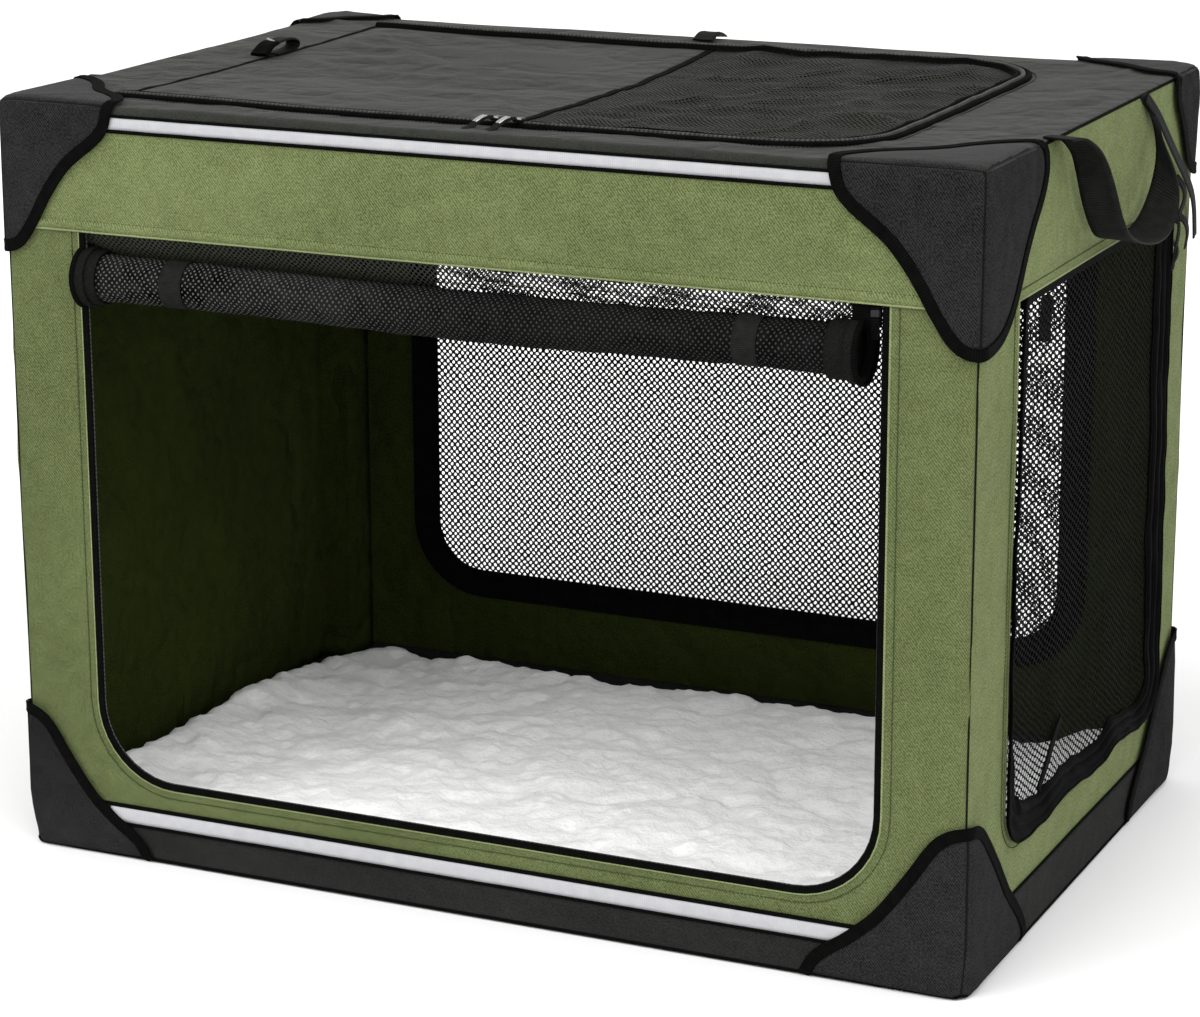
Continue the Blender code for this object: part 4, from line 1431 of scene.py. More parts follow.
@dataclass(frozen=True)
class FrontTrim(Assembly):
    """The header over the doorway and the reflective strips with their piping."""

    header_low: float = 0.679
    header_high: float = 0.7995
    half_width: float = 0.520
    upper_strip: Pair = (0.7865, 0.7990)
    lower_strip: Pair = (0.0410, 0.0575)
    hem_rows: tuple[float, ...] = (0.0112,)

    def header_relief(self, u: float, v: float) -> float:
        """The header's soft wrinkles, drawn from its corners, and its thicker hem.

        Args:
            u: The place along the face.
            v: The place up the face.

        Returns:
            The height.
        """
        point = Vector((u, 0.0, v))
        above = v - self.header_low
        share = min(above / 0.03, 1.0) * clamp((0.780 - v) / 0.020) * uncovered(HALF_X, u, v)
        pull = creases(Vector((0.55 * u + 0.8 * v, 0.0, v)), 9.0, 12.0) * 0.0026
        hem = 0.0030 * bell((above - 0.0052) / 0.0066)
        groove = sum(exp(-(((above - row) / 0.0012) ** 2)) for row in self.hem_rows)
        puff = 0.0024 * bell((v - 0.735) / 0.06) * (0.6 + 0.4 * ripple(point, 3.0, 2.0))
        waves = 0.0010 * ripple(point, 24.0, 4.0) * (1.0 - min(above / 0.03, 1.0))
        return share * (pull + puff) + hem + waves - 0.0004 * groove

    def build(self) -> None:
        """Builds the header, the strips, their piping and their stitches."""
        width = self.half_width
        low, high = self.header_low, self.header_high
        rows = [low + step for step in (0.0, 0.003, 0.006, 0.0083, 0.0105, 0.0128, 0.0135)]
        rows += evenly(low + 0.018, high, 9)

        def place(s: float, t: float) -> Placed:
            """A point of the header."""
            u, v = width * (2 * s - 1), rows[round(t * (len(rows) - 1))]
            return Shell.skin(Face.FRONT.point(u, v), HEADER + self.header_relief(u, v)), (u, v)

        cloth = woven(104, len(rows) - 1, place)
        header = self.add(
            "header_cloth", cloth, "green", SOFT_TOP, replaces=["front_header"], thick=0.0014, back="lining")
        edge = self.row(low + 0.0004, HEADER, width, low)
        # The header's edge cord is drawn in a lighter green, which paints the highlight along it.
        self.sew("header_edge", edge, cord(0.0014, 6), "green_edge_highlight", SOFT_TOP)
        for k, row in enumerate(self.hem_rows):
            line = self.row(low + row, HEADER, width, low + row)
            self.add(f"header_stitches_{k}", stitched(line), "green_thread", SOFT_TOP)
        self.strip("upper", self.upper_strip, 0.415, SOFT_TOP)
        self.strip("lower", self.lower_strip, 0.430, SOFT_BASE)

    def row(self, height: float, proud: float, width: float, level_at: float) -> Line:
        """Stations along the header at a height, on its wrinkles.

        Args:
            height: The height.
            proud: How far it stands out.
            width: Half of its length.
            level_at: The height whose wrinkles it takes.

        Returns:
            The stations.
        """
        places = [Shell.skin(Face.FRONT.point(u, height), proud + self.header_relief(u, level_at))
                  for u in evenly(-width, width, 120)]
        return stations(places, AHEAD)

    def strip(self, name: str, rows: Pair, width: float, seat: Seat) -> None:
        """One reflective strip with black piping along both edges.

        Args:
            name: The strip's name.
            rows: Its lower and its upper edge.
            width: Half of its length.
            seat: The body that it rides on, and the way it would fold.
        """
        low, high = rows
        middle, half = (low + high) / 2, (high - low) / 2

        def relief(u: float, v: float) -> float:
            """The tape's crown and its fine waves."""
            return 0.0006 * bell((v - middle) / half) + 0.0003 * ripple(Vector((u, v, 0)), 30.0)

        tape = patch(Face.FRONT, (-width, width, low, high), STRIP, relief, 0.004)
        self.add(f"{name}_strip_tape", tape, "tape", seat, replaces=[f"{name}_strip"], thick=0.0008)
        for end, height, radius in (("low", low - 0.0017, 0.0021), ("high", high + 0.0012, 0.0016)):
            line = level(Face.FRONT, height, -width, width, STRIP - 0.0006)
            self.sew(f"{name}_strip_{end}_piping", line, cord(radius), "binding", seat)


@dataclass(frozen=True)
class Tub(Assembly):
    """The charcoal tub: the base band, the floor inside, and the piping round the foot."""

    height: float = 0.060
    lip: float = 0.020
    floor_height: float = 0.0030

    def perimeter(self, inset: float = 0.0) -> list[Vector]:
        """Points round the box in plan, with its corners among them.

        Args:
            inset: How far inside the box they are.

        Returns:
            The points.
        """
        corners = ((-1, -1), (1, -1), (1, 1), (-1, 1))
        made = []
        for k, (sx, sy) in enumerate(corners):
            nx, ny = corners[(k + 1) % 4]
            first = Vector((sx * (HALF_X - inset), sy * (HALF_Y - inset), 0.0))
            second = Vector((nx * (HALF_X - inset), ny * (HALF_Y - inset), 0.0))
            length = (HALF_X if k % 2 == 0 else HALF_Y) * 2
            near = [step / length for step in (0.0, 0.004, 0.008, 0.012)]
            steps = near + evenly(SEAM_STEP / length, 1.0 - SEAM_STEP / length, round(length / SEAM_STEP))
            steps += [1.0 - share for share in reversed(near[1:])]
            made += [first.lerp(second, share) for share in steps]
        return made

    def build(self) -> None:
        """Builds the band, the floor and the piping."""
        outer = self.perimeter()
        inner = self.perimeter(self.lip)
        rows = [0.0, 0.003, 0.007, 0.012, 0.02, 0.03, 0.04, 0.05, self.height]

        def place(s: float, t: float) -> Placed:
            """A point of the band, from under the floor up the side.

            Args:
                s: The share round the tub.
                t: The share up it.

            Returns:
                The point and its UV.
            """
            i = round(s * len(outer)) % len(outer)
            k = round(t * len(rows))
            if k == 0:
                return Shell.skin(inner[i], -0.0002), (s * 3.5, -self.lip)
            z = rows[k - 1]
            point = Vector((outer[i].x, outer[i].y, z))
            share = min(z / 0.012, 1.0)
            wave = 0.0009 * ripple(Vector((point.x, point.y, 0.3 * z)), 16.0, 6.0) * share
            return Shell.skin(point, -0.0006 + (BAND + 0.0006) * share + wave), (s * 3.5, z)

        cloth = woven(len(outer), len(rows), place, weld=True)
        self.add("base_band", cloth, "band", FIRM_BASE, replaces=["base_tub"], thick=CLOTH_THICK)
        floor = patch(Face.TOP, (-0.520, 0.520, -0.342, 0.342), 0.0, lambda u, v: 0.0, 0.05)
        for vert in floor.verts:
            vert.co.z = self.floor_height + 0.0006 * ripple(vert.co, 9.0)
        piece = self.add("floor_cloth", floor, "guard", FIRM_BASE, thick=0.0012)
        foot = Shell.trace(self.perimeter(), -0.0008, ring=True)
        self.sew("foot_piping", foot, cord(0.0021), "binding", FIRM_BASE, ring=True)
        points = [Vector((p.x, p.y, self.height)) for p in self.perimeter()]
        top = Shell.trace(points, BAND, ring=True)
        self.sew("band_piping", top, cord(0.0015), "binding", FIRM_BASE, ring=True)


Curve = tuple[Pair, ...]


@dataclass(frozen=True)
class Guard(Assembly):
    """A sewn corner guard: a cut of cloth on each face round one corner, and the binding round its edge."""

    name: str
    x_sign: int
    y_sign: int
    top: bool
    front: Curve
    end: Curve
    lid: Curve = ()
    scale: float = 1.0
    reach: tuple[float, float, float] = (1.0, 1.0, 1.0)
    puff: float = 0.0032
    tape: float = 0.0130

    def spot(self, along_x: float, along_y: float, drop: float) -> Vector:
        """A point of the box from its distances to the corner, before they are scaled."""
        x, y, z = (a * b * self.scale for a, b in zip((along_x, along_y, drop), self.reach))
        return Vector((self.x_sign * (HALF_X - x), self.y_sign * (HALF_Y - y), HEIGHT - z if self.top else z))

    def tucked(self, points: Sequence[Vector], corner: Vector) -> list[Vector]:
        """The points drawn towards the corner to the middle of the binding."""
        return [point.lerp(corner, min(0.5 * self.tape / max((point - corner).length, TINY), 1.0))
                for point in points]

    def edges(self) -> list[list[Vector]]:
        """The cut edges on the front, the end and the lid, in order round the guard.

        Returns:
            The points of each edge.
        """
        made = [
            smooth_line([self.spot(a, 0.0, b) for a, b in self.front]),
            smooth_line([self.spot(0.0, a, b) for a, b in self.end]),
        ]
        if self.lid:
            made.append(smooth_line([self.spot(a, b, 0.0) for a, b in self.lid]))
        return made

    def build(self) -> None:
        """Builds the guard's cloth, seams and binding."""
        seat = SOFT_TOP if self.top else SOFT_BASE
        corner = self.spot(0.0, 0.0, 0.0)
        edges = self.edges()
        parts = [self.cut(self.tucked(edge, corner), corner, float(k)) for k, edge in enumerate(edges)]
        cloth = parts[0]
        for part in parts[1:]:
            data = bpy.data.meshes.new("part")
            part.to_mesh(data)
            part.free()
            cloth.from_mesh(data)
            bpy.data.meshes.remove(data)
        bmesh.ops.remove_doubles(cloth, verts=cloth.verts, dist=0.0002)
        bmesh.ops.recalc_face_normals(cloth, faces=cloth.faces)
        middle = Vector((self.x_sign, self.y_sign, 1 if self.top else 0))
        if sum((face.normal.dot(middle) * face.calc_area() for face in cloth.faces), 0.0) < 0:
            bmesh.ops.reverse_faces(cloth, faces=cloth.faces)
        for face in cloth.faces:
            face.material_index = 1 if face.normal.z > 0.75 else 0
        self.add(f"{self.name}_guard_cloth", cloth, "guard", seat, replaces=[f"{self.name}_guard"],
                 thick=CLOTH_THICK, crease=38.0, others=["guard_top"])
        outline = [point for edge in edges for point in edge[:-1]] + ([] if self.lid else [edges[-1][-1]])
        line = Shell.trace(self.tucked(outline, corner), BINDING, ring=bool(self.lid))
        fine = spaced(line, 0.006, ring=bool(self.lid))
        self.sew(f"{self.name}_guard_binding", fine, band(self.tape, 0.0016), "binding", seat,
                 ring=bool(self.lid))
        down = [self.spot(0.0, 0.0, drop) for drop in self.steps(self.front[-1][1])]
        self.seam("upright", down, seat)
        if self.lid:
            self.seam("long", [self.spot(d, 0.0, 0.0) for d in self.steps(self.front[0][0])], seat)
            self.seam("short", [self.spot(0.0, d, 0.0) for d in self.steps(self.end[-1][0])], seat)

    @staticmethod
    def steps(length: float) -> list[float]:
        """Distances from the corner to a length."""
        return evenly(0.0, length, 14)

    def seam(self, name: str, points: Sequence[Vector], seat: Seat) -> None:
        """A sunk seam along one of the box's edges.

        Args:
            name: The seam's name.
            points: Its points on the box.
            seat: The body that it rides on, and the way it would fold.
        """
        line = Shell.trace(points, GUARD)
        radius = 0.0017 if name == "upright" else 0.0011
        self.sew(f"{self.name}_guard_{name}_seam", line, cord(radius, 6), "black_thread", seat)

    def cut(self, edge: Sequence[Vector], corner: Vector, seed: float) -> Mesh:
        """The cloth between a cut edge and the corner.

        Args:
            edge: The points of the cut edge.
            corner: The corner.
            seed: Tells one cut from another.

        Returns:
            The mesh.
        """

        def place(s: float, t: float) -> Placed:
            """A point on the line from the edge to the corner.

            Args:
                s: The share along the edge.
                t: The share from the edge to the corner.

            Returns:
                The point and its UV.
            """
            outer = edge[round(s * (len(edge) - 1))]
            eased = 0.5 - 0.5 * cos(pi * t)
            point = outer.lerp(corner, eased)
            swell = self.puff * (4 * s * (1 - s)) ** 0.6 * (1.0 - exp(-(point - outer).length / 0.014))
            swell *= min((point - corner).length / 0.03, 1.0)
            middle = sin(pi * s) * sin(pi * t)
            swell += 0.0012 * creases(point, 9.0, seed + 3.0) * middle
            mark = (point.x + point.y, point.z) if abs(point.z - HEIGHT) > TINY else (point.x, point.y)
            return Shell.skin(point, GUARD + swell), mark

        return woven(len(edge) - 1, 14, place, weld=True)


FRONT_TOP: Curve = ((0.156, 0.0), (0.154, 0.013), (0.149, 0.030), (0.135, 0.046), (0.112, 0.064),
                    (0.095, 0.079), (0.080, 0.097), (0.065, 0.118), (0.054, 0.136), (0.045, 0.150),
                    (0.035, 0.164), (0.025, 0.174), (0.013, 0.179), (0.0, 0.180))
END_TOP: Curve = ((0.0, 0.180), (0.030, 0.178), (0.055, 0.172), (0.076, 0.160), (0.092, 0.145),
                  (0.107, 0.126), (0.124, 0.102), (0.145, 0.078), (0.170, 0.053), (0.182, 0.032),
                  (0.180, 0.014), (0.172, 0.0))
LID_TOP: Curve = ((0.0, 0.172), (0.020, 0.168), (0.044, 0.152), (0.062, 0.132), (0.078, 0.108),
                  (0.096, 0.088), (0.118, 0.070), (0.138, 0.052), (0.152, 0.030), (0.157, 0.014),
                  (0.156, 0.0))
FRONT_BASE: Curve = ((0.175, 0.0), (0.171, 0.010), (0.163, 0.023), (0.150, 0.035), (0.132, 0.048),
                     (0.116, 0.062), (0.102, 0.075), (0.089, 0.090), (0.074, 0.110), (0.058, 0.132),
                     (0.046, 0.150), (0.035, 0.164), (0.023, 0.173), (0.010, 0.178), (0.0, 0.179))
END_BASE: Curve = ((0.0, 0.179), (0.014, 0.178), (0.033, 0.170), (0.055, 0.150), (0.088, 0.116),
                   (0.122, 0.077), (0.145, 0.056), (0.170, 0.030), (0.179, 0.014), (0.177, 0.0))


@dataclass(frozen=True)
class Guards(Assembly):
    """The eight corner guards. The left ones and the upper back ones are cut smaller."""

    left_scale: float = 0.90
    back_reach: dict[str, tuple[float, float, float]] = field(
        default_factory=lambda: {"left": (0.68, 0.62, 0.90), "right": (0.88, 0.52, 0.66)})

    def build(self) -> None:
        """Builds each guard."""
        for x_sign, side in ((-1, "left"), (1, "right")):
            scale = self.left_scale if x_sign < 0 else 1.0
            for y_sign, face in ((-1, "front"), (1, "back")):
                reach = self.back_reach[side] if face == "back" else (1.0, 1.0, 1.0)
                Guard(self.shop, f"top_{face}_{side}", x_sign, y_sign, True, FRONT_TOP, END_TOP, LID_TOP,
                      scale, reach).build()
                Guard(self.shop, f"base_{face}_{side}", x_sign, y_sign, False, FRONT_BASE, END_BASE, (),
                      scale).build()


@dataclass(frozen=True)
class Linings(Assembly):
    """The dark lining of the two ends, which boxes in the folding posts at the corners."""

    low: float = 0.027
    high: float = 0.786
    post_x: float = 0.4891
    post_y: float = 0.2931
    wall_x: float = 0.5240
    wall_y: float = 0.3480
    doorway: Pair = (-0.246, 0.268)

    def build(self) -> None:
        """Builds both linings."""
        path = ((self.post_x, -self.wall_y), (self.post_x, -self.post_y), (self.wall_x, -self.post_y),
                (self.wall_x, self.post_y), (self.post_x, self.post_y), (self.post_x, self.wall_y))
        front_gap, back_gap = self.doorway
        self.strip("left_lining_cloth", -1, path, ["left_lining"])
        self.strip("right_front_lining", 1, (*path[:3], (self.wall_x, front_gap)), ["right_lining"])
        self.strip("right_back_lining", 1, ((self.wall_x, back_gap), *path[3:]), [])

    def strip(self, name: str, sign: int, path: Sequence[Pair], replaces: Sequence[str]) -> None:
        """An upright cloth along a path in plan.

        Args:
            name: The name of the piece.
            sign: The end that it is at.
            path: Its way in plan.
            replaces: The CAD nodes it stands for.
        """
        places = []
        for (ax, ay), (bx, by) in zip(path, path[1:]):
            count = max(2, round(hypot(bx - ax, by - ay) / 0.014))
            places += [(ax + (bx - ax) * i / count, ay + (by - ay) * i / count) for i in range(count)]
        places.append(path[-1])

        def place(s: float, t: float) -> Placed:
            """A point of the lining, pushed inward by its wrinkles.

            Args:
                s: The share along it.
                t: The share across it.

            Returns:
                The point and its UV.
            """
            x, y = places[round(s * (len(places) - 1))]
            z = self.low + (self.high - self.low) * t
            point = Vector((x, y, z))
            fold = 0.0045 * creases(Vector((x, y, 0.5 * z)), 4.5, 2.0)
            fold += 0.0020 * (1 + ripple(point, 9.0, 4.0))
            inside = bell(y / (self.post_y + 0.002)) ** 0.3 if abs(y) < self.post_y else 0.0
            return Vector((sign * (x - fold * inside), y, z)), (y + x, z)

        mesh = woven(len(places) - 1, 56, place, flip=sign > 0)
        piece = self.add(name, mesh, "lining", replaces=replaces, thick=0.0010)


@dataclass(frozen=True)
class Window(Assembly):
    """The net window in the back wall, with its binding."""

    border: float = 0.012
    inner_border: float = 0.024

    def build(self) -> None:
        """Builds the net, its border and the wider binding inside."""

        def relief(u: float, v: float) -> float:
            """Soft waves in the net."""
            waves = 0.0020 * ripple(Vector((u, 0.0, v)), 7.0, 1.0)
            return waves + 0.0012 * creases(Vector((u, 0.0, 0.5 * v)), 6.0, 4.0)

        net = WINDOW.cloth(WALL - 0.0012, relief, 0.014)
        piece = self.add("window_net", net, "net", replaces=["back_window"])
        line = WINDOW.seam(-self.border / 2, WALL - 0.0016)
        self.sew("window_binding", line, band(self.border, 0.0016), "binding", ring=True)
        line = WINDOW.seam(self.inner_border / 2 - 0.002, WALL - 0.0040)
        self.sew("window_inner_binding", line, band(self.inner_border, 0.0014), "binding", ring=True)


@dataclass(frozen=True)
class EndDoor(Assembly):
    """The slack net door in the right-hand end, with its wide ruffled border, ties and slider."""

    border: float = 0.024
    back_border: float = 0.012
    corner_border: float = 0.023
    ridge: float = 0.0036
    overlap: float = 0.0050
    bulge: float = 0.0080
    crease: tuple[Pair, ...] = ((-0.062, 0.200), (-0.082, 0.186), (-0.104, 0.168), (-0.130, 0.144))

    @staticmethod
    def knit(net: Mesh) -> None:
        """Stretches the net's knit along the doorway, as the slack net is pulled.

        Args:
            net: The net's mesh.
        """
        layer = net.loops.layers.uv.active
        for face in net.faces:
            for loop in face.loops:
                loop[layer].uv = (loop[layer].uv[0] * 0.60, loop[layer].uv[1] * 1.02)

    def relief(self, u: float, v: float) -> float:
        """Slack waves, larger towards the loose lower edge.

        Args:
            u: The place along the face.
            v: The place up the face.

        Returns:
            The height.
        """
        hang = 1.0 - (v - END_DOORWAY.low_v) / (END_DOORWAY.high_v - END_DOORWAY.low_v)
        waves = 0.0048 * ripple(Vector((0.0, u, 0.35 * v)), 11.0, 2.0)
        waves += 0.0020 * ripple(Vector((0.0, u, v)), 23.0, 6.0)
        return (waves - 0.0034) * (0.35 + 0.65 * hang)

    def sides(self) -> list[Rect]:
        """Marks down the front side, along the bottom and up the back side of the doorway.

        Returns:
            The marks, each with its outward direction.
        """
        rim = [mark for mark in END_DOORWAY.rim(0.0, 0.008, 8) if mark[3] < 0.5]
        first = max(range(len(rim)), key=lambda i: rim[i][1] - 10.0 * (rim[i][0] > 0.0))
        return rim[first:] + rim[:first]

    def border_point(self, mark: Rect, share: float) -> Vector:
        """A point of the ruffled border.

        Args:
            mark: A mark on the doorway's edge, with its outward direction.
            share: Zero at the border's outer edge, one at its inner edge.

        Returns:
            The point in the row frame.
        """
        u, v, nu, nv = mark
        point = Vector((0.0, u, v))
        to_front, to_back = (
            dist((u, v), (side, END_DOORWAY.low_v)) for side in (END_DOORWAY.low_u, END_DOORWAY.high_u))
        near = exp(-(to_front / 0.085) ** 2)
        bulge = self.bulge * exp(-(to_back / 0.070) ** 2)
        width = self.border + self.back_border * max(nu, 0.0) + self.corner_border * near
        low = clamp((END_DOORWAY.high_v - v) / 0.30)
        calm = low * low * (0.35 + 0.65 * max(nu, -nv))
        wave = calm * (0.0150 * ripple(point, 9.0, 3.0) + 0.0060 * ripple(point, 25.0, 5.0))
        inset = 0.0010 - self.overlap * low - bulge + width * share - wave * (0.55 + 0.45 * share)
        place_u, place_v = u - nu * inset, v - nv * inset
        ridges = self.ridge * abs(sin(3.0 * pi * (share ** 0.85))) ** 0.8
        ridges *= 0.75 + 0.4 * ripple(point, 18.0, 9.0)
        height = WALL + 0.0048 * (1.0 - share) + ridges + share * self.relief(place_u, place_v)
        height += 0.0012 * ripple(Vector((0.0, 3.0 * share, 0.0)) + point * 30.0, 1.0, 8.0)
        return Shell.skin(Face.RIGHT.point(place_u, place_v), height)

    def line(self, share: float, lift: float) -> Line:
        """Stations along the border at a share of its width."""
        points = [self.border_point(mark, share) + Vector((lift, 0.0, 0.0)) for mark in self.sides()]
        return stations(points, RIGHT)

    def build(self) -> None:
        """Builds the door's net, border, ties and slider."""
        seat = END_PANEL
        net = END_DOORWAY.cloth(WALL - 0.0010, self.relief, 0.010, 0.002)
        self.knit(net)
        piece = self.add("end_door_net", net, "end_net", seat, replaces=["end_door"])
        marks = self.sides()

        def place(s: float, t: float) -> Placed:
            """A point of the border."""
            mark = marks[round(s * (len(marks) - 1))]
            return self.border_point(mark, 1.0 - t), (1.6 * s, self.border * t)

        ruffle = woven(len(marks) - 1, 16, place, flip=True)
        self.add("end_door_border", ruffle, "ruffle", seat, thick=0.0010)
        self.sew("end_door_hem", self.line(1.0, 0.0004), cord(0.0013, 6), "ruffle", seat)
        self.sew("end_door_coil", self.line(0.02, 0.0006), cord(0.0014, 6), "ruffle", seat)
        crease = [Shell.skin(Face.RIGHT.point(u, v), WALL + 0.0016 + self.relief(u, v))
                  for u, v in self.crease]
        fold_line = stations(smooth_line(crease), RIGHT)
        self.sew("end_door_net_crease", fold_line, band(0.0120, 0.0018), "ruffle", seat)
        top = level(Face.RIGHT, END_DOORWAY.high_v - 0.004, END_DOORWAY.low_u, END_DOORWAY.high_u,
                    WALL - 0.0008)
        self.sew("end_door_top_band", top, band(0.009, 0.0016), "binding", seat)
        self.ties()
        Slider(self.shop, "end_slider_pull", Vector((HALF_X - 0.0020, 0.2655, 0.640)), RIGHT, -UP,
               Seat("end_slider_body", Fold.FLOOR), "end_slider", trim="slider").build()

    def ties(self) -> None:
        """The hanging ties by the slider, the strap over the wall, and the pull inside the net."""
        runs = (
            ("end_tie_loop", 0.0105, (
                (0.002, 0.266, 0.704), (0.008, 0.271, 0.694), (0.009, 0.275, 0.682), (0.006, 0.272, 0.668),
                (0.003, 0.268, 0.654))),
            ("end_tie_long_tail", 0.0085, (
                (0.004, 0.270, 0.660), (0.006, 0.267, 0.646), (0.004, 0.265, 0.628), (0.001, 0.266, 0.604))),
            ("end_tie_short_tail", 0.0085, (
                (0.005, 0.270, 0.663), (0.009, 0.281, 0.654), (0.008, 0.295, 0.640), (0.003, 0.306, 0.622))),
            ("end_trailing_strap", 0.0120, (
                (-0.001, 0.150, 0.806), (0.004, 0.180, 0.782), (0.006, 0.232, 0.741), (0.006, 0.300, 0.692),
                (0.004, 0.330, 0.664), (0.001, 0.350, 0.626))),
            ("end_door_inner_pull", 0.0125, (
                (-0.017, -0.112, 0.648), (-0.018, -0.110, 0.634), (-0.019, -0.112, 0.618),
                (-0.018, -0.111, 0.602))),
        )
        for name, width, points in runs:
            places = smooth_line([Vector((HALF_X + x, y, z)) for x, y, z in points], 4)
            inner = "inner" in name
            line = stations(places, AHEAD if inner else RIGHT)
            seat = END_PANEL if inner else SOFT_BASE
            piece = self.sew(name, line, band(width, 0.0020), "webbing", seat)


@dataclass(frozen=True)
class Slider(Assembly):
    """A zip slider with a cord pull that has a metal end."""

    name: str
    at: Vector
    out: Vector
    along: Vector
    seat: Seat
    node: str
    length: float = 0.030
    width: float = 0.0062
    dip: float = 0.0
    trim: str = "bare_metal"

    def build(self) -> None:
        """Builds the slider's body, its metal bail, its pull and the pull's cap."""
        side = self.out.cross(self.along)
        turn = Matrix((side, self.along, self.out)).transposed().to_4x4()
        turn.translation = self.at + self.out * 0.0016
        block = bmesh.new()
        bmesh.ops.create_cube(block, size=1.0)
        bmesh.ops.scale(block, vec=(0.0085, 0.0120, 0.0036), verts=block.verts)
        bmesh.ops.bevel(block, geom=block.edges[:], offset=0.0011, offset_type="OFFSET", segments=2,
                        profile=0.5, affect="EDGES", material=-1)
        bmesh.ops.transform(block, matrix=turn, verts=block.verts)
        self.add(f"{self.name}_block", block, "slider", self.seat, replaces=[self.node])
        places = []
        for i in range(13):
            reach = 0.004 + self.length * i / 12
            lift = 0.0044 * sin(pi * min(i / 10, 1.0)) + 0.0024 - self.dip * i / 12
            places.append(self.at + self.along * reach + self.out * lift + side * (0.0015 * sin(i / 3)))
        line = stations(places, self.out)
        wide, narrow = 0.62 * self.width, 0.5 * self.width
        bail = [(-wide, 0.0), (-narrow, 0.0016), (narrow, 0.0016), (wide, 0.0), (0.0, -0.0008)]
        self.sew(f"{self.name}_bail", line[:3], bail, self.trim, self.seat)
        self.sew(self.name, line[2:], band(self.width, 0.0026), "webbing", self.seat)
        plate = [station.raised(0.0012) for station in line[4:9]]
        self.sew(f"{self.name}_plate", plate, band(0.72 * self.width, 0.0022), self.trim, self.seat)


